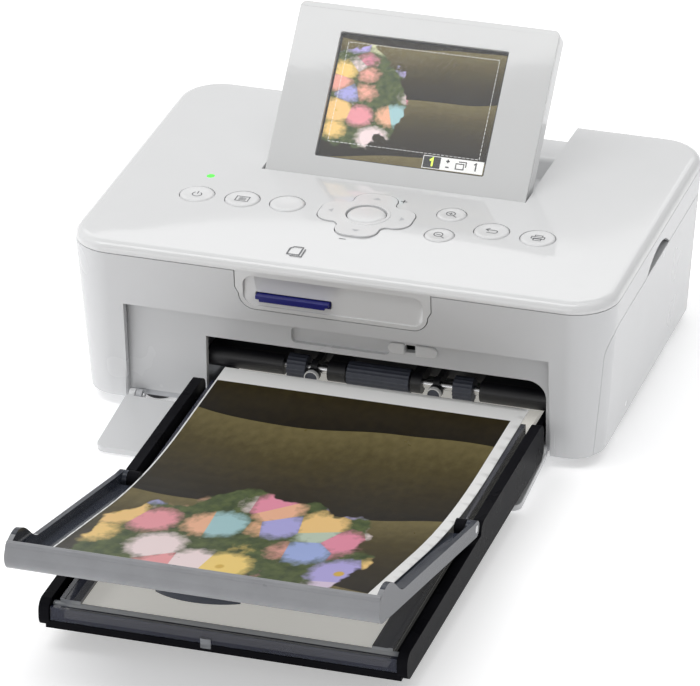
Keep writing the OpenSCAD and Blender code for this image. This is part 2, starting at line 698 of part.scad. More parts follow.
// ---------------------------------------------------------------- card
module card_socket() place() color("silver") difference() {
    half = card_w / 2 + 0.3;
    y1 = front_y - card_out + 0.6 + card_l + 0.3;
    span([card_x - half - 1.3, front_y + 5, card_z - 1.9],
         [card_x + half + 1.3, y1 + 1.2, board_z() - 1.6]);
    span([card_x - half, front_y + 4, card_z - card_t / 2 - 0.3],
         [card_x + half, y1, card_z + card_t / 2 + 0.3]);
}
module memory_card() place() color("midnightblue") difference() {
    y0 = front_y - card_out + 0.6;
    span([card_x - card_w / 2, y0, card_z - card_t / 2],
         [card_x + card_w / 2, y0 + card_l, card_z + card_t / 2]);
    // Stepped edges of the card's outer end
    translate([card_x, 0, 0]) both_sides()
        translate([card_w / 2, y0, card_z - card_t / 2]) cube([2.4, 3, 1.6], center = true);
}

// ---------------------------------------------------------------- doors
// Put children, drawn as [x, out from the hinge, up], at the front door's hinge
module at_front_door() translate([0, door_y, door_z]) rotate([door_droop, 0, 0]) children();

module front_door() place() color("whitesmoke") at_front_door() difference() {
    arm_x = door_hw - 2.8;
    union() {
        translate([0, -door_l, -door_t / 2]) linear_extrude(door_t) union() {
            rrect(-door_hw, 0, door_hw, door_l - 2.2, 3);
            translate([-door_hw, 10]) square([2 * door_hw, door_l - 12.2]);
        }
        // Hinge arms
        both_sides() {
            rod_x(arm_x, arm_x + 2.2, [0, 0], barrel_r);
            span([arm_x, -4, -door_t / 2], [arm_x + 2.2, 0, door_t / 2]);
        }
    }
    rod_x(-door_hw - 1, door_hw + 1, [0, 0], hinge_r + run_gap);
}
module front_door_pins() place() color("silver") both_sides()
    rod_x(door_hw - 5.6, door_hw - 0.8, [door_y, door_z], hinge_r);

module ink_door() place() color("gainsboro") difference() {
    union() {
        intersection() {
            difference() {
                block(shell_z + 0.2, seam_z - seam_gap, 0);
                block(shell_z - 1, seam_z + 1, wall_t);
            }
            along_x(side_x(shell_z) - 8, body_w / 2 + 1) ink_outline(0);
        }
        for (y = ink_hinges()) {
            rod_y(y - barrel_l / 2, y + barrel_l / 2, [ink_px, ink_pz], barrel_r);
            span([ink_px, y - barrel_l / 2, ink_pz - barrel_r],
                 [side_x(ink_pz) - wall_t + 0.4, y + barrel_l / 2, ink_pz + barrel_r]);
        }
        thumb_tab();
    }
    for (y = ink_hinges()) rod_y(y - barrel_l, y + barrel_l, [ink_px, ink_pz], hinge_r + run_gap);
}
module ink_door_pins() place() color("silver") for (y = ink_hinges())
    rod_y(y - barrel_l / 2 - 2.3, y + barrel_l / 2 + 2.3, [ink_px, ink_pz], hinge_r);

// ---------------------------------------------------------------- ink cassette and print head
module ink_cassette() place() color("#3c3c40") difference() {
    union() {
        for (c = [take_c, supply_c]) rod_x(spool_x0 - 1.4, spool_x1 + 1.4, c, chamber_r);
        for (x = [spool_x0 - 3, spool_x1 + 1.2]) along_x(x, x + 1.8) cassette_end();
        // Grip towards the ink door
        span([spool_x1 + 2.9, platen_c[0] - 14, supply_c[1] - 5],
             [side_x(30) - wall_t - 4, platen_c[0] + 14, supply_c[1] + 5]);
    }
    for (c = [take_c, supply_c]) rod_x(spool_x0 - 0.8, spool_x1 + 0.8, c, chamber_r - chamber_t);
    for (c = [take_c, supply_c]) rod_x(spool_x0 - 4, spool_x1 + 2.9, c, hub_r + run_gap);
    // Slots that the ribbon leaves by
    slot_z = take_c[1] - chamber_r - 1;
    span([spool_x0 - 0.8, take_c[0] + 2, slot_z], [spool_x1 + 0.8, take_c[0] + 7, slot_z + chamber_r - 3]);
    span([spool_x0 - 0.8, supply_c[0] - 7, slot_z],
         [spool_x1 + 0.8, supply_c[0] - 2, slot_z + chamber_r - 3]);
}
module cassette_end() {
    for (c = [take_c, supply_c]) translate(c) circle(r = chamber_r);
    translate([take_c[0], take_c[1] + 1]) square([supply_c[0] - take_c[0], chamber_r - 1]);
}
module spool(c) {
    rod_x(spool_x0 - 2.8, spool_x1 + 2.8, c, hub_r);
    rod_x(spool_x0, spool_x1, c, spool_r);
}
module supply_spool() place() color("#6b2f4a") spool(supply_c);
module take_up_spool() place() color("#57575c") spool(take_c);

// Film from chamber to chamber, under the print head
module ink_ribbon() place() color("#6b2f4a") along_x(spool_x0 + 0.5, spool_x1 - 0.5) {
    z0 = platen_c[1] + platen_r + 0.2;
    pts = [[take_c[0] + 4.4, take_c[1] - 6.4], [take_c[0] + 6.4, take_c[1] - 9],
           [platen_c[0] - 5, z0], [platen_c[0] + 5, z0],
           [supply_c[0] - 6.4, supply_c[1] - 9], [supply_c[0] - 4.4, supply_c[1] - 6.4]];
    polygon(concat(pts, [for (i = [len(pts) - 1:-1:0]) pts[i] + [0, 0.15]]));
}

module print_head() place() color("lightslategray") {
    difference() {
        union() {
            span([plate_x0 + plate_t + 0.5, platen_c[0] - 2.5, head_pz + 0.4],
                 [plate_x1 - 0.5, head_py + 1, head_pz + 2]);
            span([spool_x0 + 1.4, platen_c[0] - 2.5, head_bottom],
                 [spool_x1 - 1.4, platen_c[0] + 2.5, head_pz + 0.6]);
            rod_x(plate_x0 - 1, plate_x1 + plate_t + 1, [head_py, head_pz], post_r);
            rod_x(plate_x0 + plate_t + 0.5, plate_x1 - 0.5, [head_py, head_pz], 2.2);
        }
        // Cooling grooves in the bar
        for (i = [0:4]) translate([0, 0, head_bottom + 4 + i * 2.4])
            span([spool_x0, platen_c[0] - 4, 0], [spool_x1, platen_c[0] - 1.3, 1.2]);
    }
}

// ---------------------------------------------------------------- drive
module platen_roller() place() color("#2b2b2f") {
    rod_x(gear_x - 1, plate_x1 + plate_t + 1, platen_c, shaft_r);
    rod_x(spool_x0 + 0.5, spool_x1 - 0.5, platen_c, platen_r);
}
// A gear of the train with its bore: teeth, angle of one tooth, centre, bore radius
module train_gear(n, phase, c, bore_r) place() difference() {
    translate([gear_x, c[0], c[1]]) spur(n, phase);
    rod_x(gear_x - 2, plate_x0, c, bore_r);
}
function transfer_phase() = phase_next(0, idler_teeth, idler_c, transfer_teeth, transfer_c);
function platen_phase() = phase_next(transfer_phase(), transfer_teeth, transfer_c, platen_teeth, platen_c);
function feed_phase() = phase_next(0, idler_teeth, idler_c, feed_teeth, feed_c);
function pinion_phase() = phase_next(0, idler_teeth, idler_c, pinion_teeth, pinion_c);
module platen_gear() color("ivory") train_gear(platen_teeth, platen_phase(), platen_c, shaft_r + snug_gap);
module transfer_gear() color("ivory")
    train_gear(transfer_teeth, transfer_phase(), transfer_c, post_r + run_gap);
module idler_gear() color("ivory") train_gear(idler_teeth, 0, idler_c, post_r + run_gap);
module feed_gear() color("ivory") train_gear(feed_teeth, feed_phase(), feed_c, shaft_r + snug_gap);
module motor_pinion() color("goldenrod")
    train_gear(pinion_teeth, pinion_phase(), pinion_c, motor_shaft_r + run_gap);
module drive_motor() place() color("silver") {
    rod_x(motor_x - 20, motor_x - 0.6, pinion_c, motor_r);
    rod_x(motor_x - 0.8, plate_x0 - 0.4, pinion_c, motor_shaft_r);
    // Bracket to the base pan
    difference() {
        span([motor_x - 2.2, pinion_c[0] - motor_r, pan_z],
             [motor_x - 0.9, pinion_c[0] + motor_r, pinion_c[1]]);
        rod_x(motor_x - 3, motor_x, pinion_c, motor_r);
    }
}

// Angle of a tooth on gear b that meshes with gear a, whose tooth is at angle pa
function phase_next(pa, na, ca, nb, cb) =
    let (d = cb - ca, dir = atan2(d[1], d[0])) dir + 180 + 180 / nb - (pa - dir) * na / nb;
function inv(a) = tan(a) * 180 / PI - a;
// Half the angle that a tooth fills at radius p
function tooth_half(n, p) =
    let (r = pitch_r(n), rb = r * cos(20), q = max(p, rb))
    90 / n - backlash / r * 180 / PI / 2 + inv(20) - inv(acos(min(1, rb / q)));

// A spur gear with involute flanks, standing along +x from its own centre
module spur(n, phase) {
    r = pitch_r(n);
    levels = [r - 1.15 * gear_m, max(r * cos(20), r - 0.8 * gear_m), r - 0.25 * gear_m,
              r + 0.25 * gear_m, r + 0.8 * gear_m];
    // One tooth's right flank going out, then its left flank coming back
    flanks = concat([for (p = levels) [p, -tooth_half(n, p)]],
                    [for (k = [len(levels) - 1:-1:0]) [levels[k], tooth_half(n, levels[k])]]);
    pts = [for (i = [0:n - 1], f = flanks) let (a = phase + i * 360 / n + f[1]) f[0] * [cos(a), sin(a)]];
    rotate([90, 0, 90]) linear_extrude(gear_t) polygon(pts);
}

module feed_shaft() place() color("silver") rod_x(gear_x - 1, plate_x1 + plate_t + 1, feed_c, shaft_r);

// Ribbed rubber rollers on the feed shaft: x0, x1
function feed_spans() = [[-18.6, -12.4], [1.2, 21.6], [36.1, 42.3]];
module feed_rollers() place() color("slategray") for (s = feed_spans())
    along_x(s[0], s[1]) translate(feed_c) difference() {
        circle(r = feed_r);
        circle(r = shaft_r + snug_gap);
        for (a = [0:20:340]) rotate(a) translate([feed_r, 0]) rotate(45) square(0.7, center = true);
    }

// ---------------------------------------------------------------- cassette
cas_hw = cas_w / 2;
cas_in_hw = cas_in_w / 2;
rail_t = 3.2;
rail_end_r = 3.5;
cas_wall_t = 1.8;
cover_t = 1.2;
rail_y1 = front_y - 4.5;
// Inner faces of the ears that carry the tray, from the cassette's middle
ear_in = cas_hw - 2 * rail_t - 0.7;
module cassette_base() place() color("#1b1b1e") translate([path_x, 0, 0]) difference() {
    union() {
        // Floor and end wall
        span([-cas_in_hw, cas_y0 + 2, cas_z], [cas_in_hw, cas_y1, cas_z + floor_t]);
        span([-cas_in_hw, cas_y1 - cas_wall_t, cas_z], [cas_in_hw, cas_y1, in_rail_z - 2.4]);
        // Front wall
        span([-cas_hw + 2, cas_y0 + 0.6, cas_z], [cas_hw - 2, cas_y0 + 2.6, cas_z + 2.4]);
        both_sides() {
            // Low wall that enters the printer
            span([cas_in_hw - cas_wall_t, cas_y0 + 8, cas_z], [cas_in_hw, cas_y1, in_rail_z]);
            // Side rail: tall behind the tray's pivot, low in front of it
            along_x(cas_hw - rail_t, cas_hw) {
                rrect(tray_py + 4, cas_z, rail_y1, rail_z, rail_end_r);
                rrect(cas_y0, cas_z, tray_py + 12, low_rail_z, rail_end_r);
            }
            // Web between the rail and the floor
            span([cas_in_hw - 1, cas_y0 + 3, cas_z + 1], [cas_hw - 1, rail_y1 - 3, cas_z + 2.6]);
            // Ear for the tray's pin
            along_x(ear_in + 0.4, ear_in + 0.4 + rail_t) {
                translate([tray_py, tray_pz]) circle(r = tray_boss_r);
                translate([tray_py - tray_boss_r, cas_z + 1]) square([2 * tray_boss_r, tray_pz - cas_z - 1]);
            }
        }
    }
    rod_x(-cas_hw, cas_hw, [tray_py, tray_pz], tray_pin_r + run_gap);
    // Rail ends are undercut where the rail leaves the floor
    both_sides() span([cas_in_hw, rail_y1 - 14, cas_z + 4], [cas_hw - rail_t, rail_y1 + 4, rail_z]);
}

// Smoky frame over the paper: side bands, a rear bridge, and a clear bar across the front
module cassette_cover() place() color("#20243a", 0.6) translate([path_x, 0, 0]) {
    x1 = cas_in_hw - 2.1;
    x0 = paper_w / 2 - 5;
    bar_hw = cas_hw - rail_t - 0.3;
    difference() {
        union() {
            both_sides() {
                span([x0, cas_y0 + 4, cover_z - cover_t], [x1, rail_y1 - 1, cover_z]);
                span([x1 - 1.4, cas_y0 + 4, cas_z + 4.2], [x1, rail_y1 - 1, cover_z]);
            }
            span([-x1, rail_y1 - 10, cover_z - cover_t], [x1, rail_y1 - 1, cover_z]);
            // Front wall, clear bar and the web that joins them
            span([-bar_hw, cas_y0 + 0.8, cas_z + 2.5], [bar_hw, cas_y0 + 2.4, cas_z + 7]);
            rod_x(-bar_hw, bar_hw, [cas_y0 + 4.4, paper_z + stack_h + 1.6], 1.35);
            span([-x1, cas_y0 + 2.2, cas_z + 5.6], [x1, cas_y0 + 4.4, cas_z + 6.6]);
        }
        // Room for the tray's ears and low rails
        both_sides() span([ear_in, tray_py - 3.2, cas_z + 3], [cas_hw, tray_py + 3.2, rail_z + 2]);
        // The bands step down in front of the pivot, under the tray
        span([-cas_hw, cas_y0 - 1, low_rail_z - 0.2], [cas_hw, tray_py - 3, rail_z + 2]);
    }
    // Lower bands in front of the pivot
    both_sides() span([x0, cas_y0 + 4, low_rail_z - 0.4 - cover_t], [x1, tray_py - 3.2, low_rail_z - 0.4]);
}

module lift_plate() place() color("silver") translate([path_x, 0, 0])
    span([-ear_in, cas_y0 + 8, cas_z + floor_t], [ear_in, cas_y1 - 2.4, paper_z]);
module paper_stack() place() color("ivory") translate([path_x, 0, 0])
    span([-paper_w / 2, cas_y0 + 3.2, paper_z], [paper_w / 2, cas_y0 + 3.2 + paper_l, paper_z + stack_h]);
module stack_clip() place() color("gainsboro") translate([path_x - 5, cas_y0 + 0.2, cas_z]) {
    span([-1.6, 0, 1.2], [1.6, 0.4, 4.4]);
    span([-1.6, 0, 4.0], [1.6, 0.6, 4.4]);
}

// ---------------------------------------------------------------- output tray
// Put children, drawn as [x, towards the front along the floor, up off the floor], at the pivot
module at_tray()
    translate([path_x, tray_py, tray_pz]) rotate([-tray_tilt, 0, 0]) mirror([0, 1, 0]) children();

// Outer curve of the front lip, set in by off: round from the floor, then leaning back
function lip_curve(off) = concat(
    [for (a = [-90:10:0])
        [tray_l - lip_r + (lip_r - off) * cos(a), lip_r - tray_boss_r + (lip_r - off) * sin(a)]],
    [[tray_l - lip_lean - off, lip_h - tray_boss_r]]);
// Side of the tray: a low wall that swells to a hump and falls to the lip
module tray_side() {
    b = -tray_boss_r;
    run = 17;
    rise = hump_h - side_h;
    crest_s = tray_l - hump_d;
    fall = hump_d - lip_lean;
    circle(r = tray_boss_r);
    polygon(concat([[0, b]], lip_curve(0),
        [for (k = [0.125:0.125:1])
            [crest_s + fall * (1 - k), b + lip_h + (hump_h - lip_h) * sin(90 * k)]],
        [for (k = [0.0625:0.0625:1]) [crest_s - run * k, b + side_h + rise * (1 + cos(180 * k)) / 2]],
        [[tray_boss_r + 2, b + side_h], [0, tray_boss_r]]));
}
module output_tray() place() color("#7a828e", 0.6) at_tray() difference() {
    b = -tray_boss_r;
    outer = lip_curve(0);
    inner = lip_curve(tray_t);
    union() {
        // Side walls, thicker where the pins pass
        both_sides() {
            along_x(cas_hw - tray_t - 0.2, cas_hw - 0.2) tray_side();
            rod_x(cas_hw - rail_t, cas_hw - 0.2, [0, 0], tray_boss_r);
        }
        // Floor
        span([-cas_hw + 0.4, tray_boss_r + 1.2, b], [cas_hw - 0.4, tray_l - lip_r + 0.02, b + tray_t]);
        // Front lip with a bead along its top
        along_x(-cas_hw + 0.4, cas_hw - 0.4) {
            polygon(concat(outer, [for (i = [len(inner) - 1:-1:0]) inner[i]]));
            translate((outer[len(outer) - 1] + inner[len(inner) - 1]) / 2) circle(r = bead_r);
        }
        // Crescent finger tab under the floor
        translate([12 - path_x, tray_l - tab_r - 7, b - 3]) intersection() {
            difference() {
                cylinder(r = tab_r, h = 3.2);
                translate([0, 0, -1]) cylinder(r = tab_r - 1.6, h = 3);
            }
            span([-13, tab_r - 5.2, -2], [13, tab_r + 1, 4]);
        }
    }
    rod_x(-cas_hw - 1, cas_hw + 1, [0, 0], tray_pin_r + run_gap);
}
module tray_pins() place() color("silver") translate([path_x, 0, 0]) both_sides()
    rod_x(ear_in + 0.4, cas_hw - 0.2, [tray_py, tray_pz], tray_pin_r);

// Printed sheet: level behind the pivot, then up the tray's floor
module print_sheet() place() color("#857a4c") translate([path_x, 0, 0]) along_x(-paper_w / 2, paper_w / 2) {
    t = 0.25;
    lower = [for (k = [0:24]) sheet_point(k / 24)];
    polygon(concat(lower, [for (i = [len(lower) - 1:-1:0]) lower[i] + [0, t]]));
}
sheet_rear = front_y + 3.4;
sheet_z = cover_z + 0.3;
bend = 34;
function sheet_point(k) =
    let (y = sheet_rear - k * (sheet_rear - (tray_py - (tray_l - 6.5) * cos(tray_tilt))),
         corner_y = tray_py + 4, d = corner_y - y,
         rise = tan(tray_tilt),
         z = d < -bend ? 0 : d > bend ? d * rise : rise * pow(d + bend, 2) / (4 * bend))
    [y, sheet_z + z];

// ---------------------------------------------------------------- sockets
module dc_inlet() place() color("#202020") difference() {
    face_y = rear_y - lean(socket_z()) - 0.6;
    union() {
        rod_y(rear_y - 12, face_y, [dc_x(), socket_z()], dc_r());
        span([dc_x() - 5, rear_y - 16, pan_z], [dc_x() + 5, rear_y - 9, socket_z() + 5]);
    }
    rod_y(rear_y - 11, rear_y + 2, [dc_x(), socket_z()], dc_bore_r);
}
module usb_socket() place() color("silver") difference() {
    face_y = rear_y - lean(socket_z()) - 0.6;
    span([usb_x() - usb_hw, rear_y - 12, socket_z() - usb_hh],
         [usb_x() + usb_hw, face_y, socket_z() + usb_hh]);
    span([usb_x() - 4.2, rear_y - 10.6, socket_z() - 3.9], [usb_x() + 4.2, rear_y + 2, socket_z() + 3.9]);
}

base_pan();
rubber_feet();
main_shell();
top_cover();
front_panel();
chassis();
exit_guide();
screen_hinge_pins();
screen_back();
screen_front();
lcd_panel();
screen_window();
button_board();
main_board();
status_light();
power_button();
menu_button();
edit_button();
ok_button();
zoom_in_button();
zoom_out_button();
back_button();
print_button();
pad_pivot();
nav_pad();
card_socket();
memory_card();
front_door();
front_door_pins();
ink_door();
ink_door_pins();
ink_cassette();
supply_spool();
take_up_spool();
ink_ribbon();
print_head();
platen_roller();
platen_gear();
transfer_gear();
idler_gear();
drive_motor();
motor_pinion();
feed_shaft();
feed_rollers();
feed_gear();
cassette_base();
cassette_cover();
lift_plate();
paper_stack();
stack_clip();
tray_pins();
output_tray();
print_sheet();
dc_inlet();
usb_socket();
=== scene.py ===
"""Looks of the compact photo printer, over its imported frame.

Places are millimetres in the printer's own frame (+X right, +Y rear, z = 0 on the table, the
housing centred on x = 0, y = 0), and row() turns them into the row frame's metres.
"""

import json
import math

import bmesh
import bpy
from mathutils import Matrix, Vector


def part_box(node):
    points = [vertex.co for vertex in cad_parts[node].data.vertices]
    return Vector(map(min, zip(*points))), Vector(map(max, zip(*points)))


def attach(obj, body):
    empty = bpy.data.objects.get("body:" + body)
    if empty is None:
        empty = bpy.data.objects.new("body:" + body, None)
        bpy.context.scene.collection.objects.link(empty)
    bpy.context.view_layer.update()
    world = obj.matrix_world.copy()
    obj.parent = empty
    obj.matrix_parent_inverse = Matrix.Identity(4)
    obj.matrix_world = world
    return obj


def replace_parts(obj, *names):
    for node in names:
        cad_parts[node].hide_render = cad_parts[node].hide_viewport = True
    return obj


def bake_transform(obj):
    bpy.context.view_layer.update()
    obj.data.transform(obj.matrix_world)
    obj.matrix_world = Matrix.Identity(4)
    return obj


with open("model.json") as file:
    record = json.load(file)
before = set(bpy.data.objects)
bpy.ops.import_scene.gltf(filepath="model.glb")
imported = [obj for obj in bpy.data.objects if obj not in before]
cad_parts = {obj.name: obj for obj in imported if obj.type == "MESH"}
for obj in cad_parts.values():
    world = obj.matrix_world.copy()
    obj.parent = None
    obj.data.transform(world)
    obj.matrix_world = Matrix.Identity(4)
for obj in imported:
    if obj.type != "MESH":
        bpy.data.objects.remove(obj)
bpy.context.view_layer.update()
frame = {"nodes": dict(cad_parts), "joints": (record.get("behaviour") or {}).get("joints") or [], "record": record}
NODES = frame["nodes"]
BODY_OF = {n: b for b, nodes in frame["record"]["behaviour"]["bodies"].items() for n in nodes}
JOINTS = {j["name"]: j for j in frame["joints"]}

# ---------------------------------------------------------------- sizes
MM = 0.001
cover_low, cover_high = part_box("top_cover")
HALF_W = cover_high.x / MM
HALF_L = (cover_high.y - cover_low.y) / 2 / MM
MID_Y = (cover_high.y + cover_low.y) / 2 / MM
TOP_Z = cover_high.z / MM
# Housing: top cover's depth at its rim, plan corner, rounded top edge, rise of the crown and
# the walls' lean inward per mm down
SEAM_Z = TOP_Z - 4.7
CORNER_R = 14.5
EDGE_R = 3.2
CROWN = 1.4
DRAFT = 0.074
# A face belongs to the outside within this distance and this turn of the smooth form, whose
# corner creases and top edge blend over the two lengths after
SKIN_NEAR, SKIN_TURN = 0.35, 24
CREASE_SOFT, EDGE_SOFT = 9.0, 10
BEZEL_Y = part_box("front_panel")[0].y / MM - MID_Y
# Edges sharper than this get a small round, in degrees
SHARP = 38
# Printed marks lie this far off their surface, with strokes this wide on cover and buttons
MARK_LIFT = 0.03
MARK_W, ICON_W = 0.4, 0.34
# Controls: the middle button, and each button's place from it
OK_AT = (-1.2, -23.4)
BUTTONS = {
    "power_button": (-56.5, -0.2, 5.6),
    "menu_button": (-41.4, 0.1, 5.6),
    "edit_button": (-26.6, 0.8, 5.6),
    "zoom_in_button": (25.8, 8.0, 4.7),
    "zoom_out_button": (26.1, -6.8, 4.7),
    "back_button": (41.2, 0.3, 5.6),
    "print_button": (56.4, -0.1, 5.6),
}
# How far the rims of the controls stand above the cover
BUTTON_RISE = 0.35
# Marks on the cover: plus and minus from the middle button, and the card over its slot
PLUS_AT, MINUS_AT, CARD_MARK_AT = (8.6, 12.6), (-2.5, -17.4), (-15.6, -52.3)
# Catch over the mouth: its ends, the ends of its slot, its bottom and top, its corner radius,
# how deep it starts behind the bezel, and its thickness
CATCH_X, CATCH_SLOT_X, CATCH_Z, CATCH_R = (16.4, 32.6), (21.8, 25.4), (31.1, 35.0), 1.9
CATCH_SINK, CATCH_T = 0.2, 1.2
# Screws under the base: places to each side and to front and rear, and the height of their seats
SCREW_X, SCREW_Y, SCREW_Z = 63, 34, 3.55
# Roller bearings that show in the mouth, a little in front of and below the feed rollers
BEARING_X, BEARING_Y, BEARING_Z = (-9.9, 30.5), -55.2, 16.9
# Screen: tilt at rest, thickness, depth of the display below its face, and the display itself
SCREEN_TILT = math.radians(-JOINTS["screen_tilt"]["range_deg"][0])
PANEL_T, DISPLAY_SINK = 6.6, 1.5
LCD_W, LCD_H, LCD_V = 55.2, 41.4, 7.7
# Tray: tilt at rest, and the distance from its pivot to its frosted lip
TRAY_TILT = math.radians(13.2)
LIP_FROM = 96.5
# Clear bar of the cassette's inner cover, behind its front
BAR_Y = (1.9, 5.2)
# Print: white margins left, right, front and rear, and the strips it is cut into
PRINT_MARGINS = (0.5, 3.5, 5, 9)
PRINT_STRIPS = 84


def row(x, y, z):
    """A point of the printer's own frame, in the row frame."""
    return Vector((x, y + MID_Y, z)) * MM


def own(co):
    """A row frame point in the printer's own frame, in mm."""
    return Vector((co.x / MM, co.y / MM - MID_Y, co.z / MM))


def hinge_at(joint):
    return own(Vector(JOINTS[joint]["pos_m"]))


def smooth(t):
    t = min(max(t, 0.0), 1.0)
    return t * t * (3 - 2 * t)


# ---------------------------------------------------------------- the housing's skin
def edge_distance(x, y):
    """How far a point lies inside the housing's widest outline, and the way out of it."""
    dx = abs(x) - (HALF_W - CORNER_R)
    dy = abs(y) - (HALF_L - CORNER_R)
    sx, sy = math.copysign(1, x), math.copysign(1, y)
    if dx > 0 and dy > 0:
        r = math.hypot(dx, dy)
        return CORNER_R - r, Vector((sx * dx / r, sy * dy / r))
    if dx > dy:
        return CORNER_R - dx, Vector((sx, 0))
    return CORNER_R - dy, Vector((0, sy))


def crown_z(x, y):
    """Height of the top cover over a point: a rounded edge, then the crown."""
    i, _ = edge_distance(x, y)
    if i < EDGE_R:
        return TOP_Z - CROWN - EDGE_R + math.sqrt(max(EDGE_R**2 - (EDGE_R - i) ** 2, 0))
    return TOP_Z - CROWN * (1 - i / HALF_L) ** 2


def skin_normal(p):
    """Normal of the housing's smooth outside at a point on it."""
    i, way = edge_distance(p.x, p.y)
    if p.z < SEAM_Z + 0.05:
        return Vector((way.x, way.y, -DRAFT)).normalized()
    slope = 2 * CROWN / HALF_L * (1 - max(i, EDGE_R) / HALF_L)
    if i < EDGE_R:
        a = min(math.acos(min(max(1 - i / EDGE_R, 0), 1)), math.pi / 2 - slope)
        return Vector((way.x * math.cos(a), way.y * math.cos(a), math.sin(a)))
    wx = math.exp((abs(p.x) - HALF_W) / CREASE_SOFT)
    wy = math.exp((abs(p.y) - HALF_L) / CREASE_SOFT)
    soft = Vector((math.copysign(wx, p.x), math.copysign(wy, p.y))) / (wx + wy)
    out = way.lerp(soft, smooth((i - EDGE_R) / EDGE_SOFT))
    return Vector((out.x * slope, out.y * slope, 1)).normalized()


def on_skin(p, n):
    """True where a face at p that points along n is part of the housing's outside."""
    i, _ = edge_distance(p.x, p.y)
    if p.z < SEAM_Z:
        off = i - DRAFT * (SEAM_Z - p.z)
    else:
        off = crown_z(p.x, p.y) - p.z
    return abs(off) < SKIN_NEAR and n.dot(skin_normal(p)) > math.cos(math.radians(SKIN_TURN))


# ---------------------------------------------------------------- materials
def add(tree, kind, sockets=(), **settings):
    n = tree.nodes.new("ShaderNode" + kind)
    for k, v in settings.items():
        setattr(n, k, v)
    for k, v in dict(sockets).items():
        n.inputs[k].default_value = v
    return n


def ramp(tree, factor, *stops):
    """A colour ramp from (place, colour) stops, driven by a socket."""
    r = add(tree, "ValToRGB")
    for e, (place, colour) in zip(r.color_ramp.elements, (stops[0], stops[-1])):
        e.position, e.color = place, (*colour, 1)
    for place, colour in stops[1:-1]:
        r.color_ramp.elements.new(place).color = (*colour, 1)
    tree.links.new(factor, r.inputs["Fac"])
    return r.outputs["Color"]


def span(tree, factor, low, high):
    m = add(tree, "MapRange", {"To Min": low, "To Max": high})
    tree.links.new(factor, m.inputs["Value"])
    return m.outputs["Result"]


_finishes = {}


def finish(name, colour, rough, vary=0.03, patch=14.0, grain=0.3, bump=0.05, **shader):
    """A material whose colour and gloss drift over patches of the surface, with a fine grain."""
    if name in _finishes:
        return _finishes[name]
    m = bpy.data.materials.new(name)
    m.use_nodes = True
    m.diffuse_color = (*colour, 1)
    t = m.node_tree
    bsdf = t.nodes["Principled BSDF"]
    bsdf.inputs["Base Color"].default_value = (*colour, 1)
    bsdf.inputs["Roughness"].default_value = rough
    for k, v in shader.items():
        bsdf.inputs[k.replace("_", " ").title().replace("Ior", "IOR")].default_value = v
    where = add(t, "TexCoord").outputs["Object"]
    drift = add(t, "TexNoise", {"Scale": 1 / (patch * MM), "Detail": 3.0, "Roughness": 0.55})
    fine = add(t, "TexNoise", {"Scale": 1 / (grain * MM), "Detail": 2.0})
    for n in (drift, fine):
        t.links.new(where, n.inputs["Vector"])
    dark = tuple(c * (1 - vary) for c in colour)
    light = tuple(min(c * (1 + vary), 1) for c in colour)
    t.links.new(ramp(t, drift.outputs["Fac"], (0.3, dark), (0.7, light)), bsdf.inputs["Base Color"])
    t.links.new(span(t, drift.outputs["Fac"], rough * 0.8, rough * 1.2), bsdf.inputs["Roughness"])
    b = add(t, "Bump", {"Strength": bump, "Distance": grain * MM * 0.2})
    t.links.new(fine.outputs["Fac"], b.inputs["Height"])
    t.links.new(b.outputs["Normal"], bsdf.inputs["Normal"])
    _finishes[name] = m
    return m


def gloss_white():
    return finish("gloss_white", (0.78, 0.785, 0.79), 0.07, vary=0.006, grain=2.5, bump=0.012,
                  coat_weight=0.35, coat_roughness=0.04)


def shell_white():
    return finish("shell_white", (0.70, 0.706, 0.716), 0.26, vary=0.006, patch=40.0, grain=1.5,
                  bump=0.02)


def key_white():
    return finish("key_white", (0.80, 0.803, 0.808), 0.2, vary=0.01, grain=0.5, bump=0.02)


def screen_face():
    return finish("screen_face", (0.70, 0.705, 0.705), 0.04, vary=0.008, grain=2.0, bump=0.01,
                  coat_weight=0.4, coat_roughness=0.03)


def dark_base():
    return finish("dark_base", (0.52, 0.53, 0.55), 0.5, vary=0.03, bump=0.12)


def black_plastic():
    return finish("black_plastic", (0.012, 0.012, 0.015), 0.38, vary=0.2, bump=0.1)


def cassette_black():
    return finish("cassette_black", (0.009, 0.009, 0.011), 0.28, vary=0.2, bump=0.05,
                  specular_ior_level=0.01)


def rubber():
    return finish("rubber", (0.03, 0.03, 0.033), 0.8, vary=0.15, bump=0.3)


def grey_rubber():
    return finish("grey_rubber", (0.10, 0.10, 0.11), 0.75, vary=0.1, bump=0.2)


def roller_rubber():
    return finish("roller_rubber", (0.06, 0.067, 0.092), 0.5, vary=0.12, patch=2.0, bump=0.3)


def steel():
    return finish("steel", (0.62, 0.62, 0.63), 0.25, vary=0.05, grain=0.2, bump=0.05, metallic=1.0)


def zinc_steel():
    return finish("zinc_steel", (0.56, 0.58, 0.60), 0.42, vary=0.10, patch=5.0, metallic=1.0)


def brass():
    return finish("brass", (0.72, 0.52, 0.22), 0.3, vary=0.05, metallic=1.0)


def gear_ivory():
    return finish("gear_ivory", (0.70, 0.67, 0.58), 0.45, vary=0.03, bump=0.08)


def spool_grey():
    return finish("spool_grey", (0.16, 0.16, 0.17), 0.45, vary=0.05)


def dye_film():
    return finish("dye_film", (0.20, 0.035, 0.07), 0.16, vary=0.12, patch=6.0, bump=0.02)


def head_ceramic():
    return finish("head_ceramic", (0.32, 0.33, 0.35), 0.35, vary=0.05, metallic=0.6)


def circuit_board():
    return finish("circuit_board", (0.02, 0.13, 0.06), 0.35, vary=0.25, patch=3.0, grain=0.8,
                  bump=0.15)


def card_blue():
    return finish("card_blue", (0.012, 0.014, 0.17), 0.3, vary=0.08, bump=0.1)


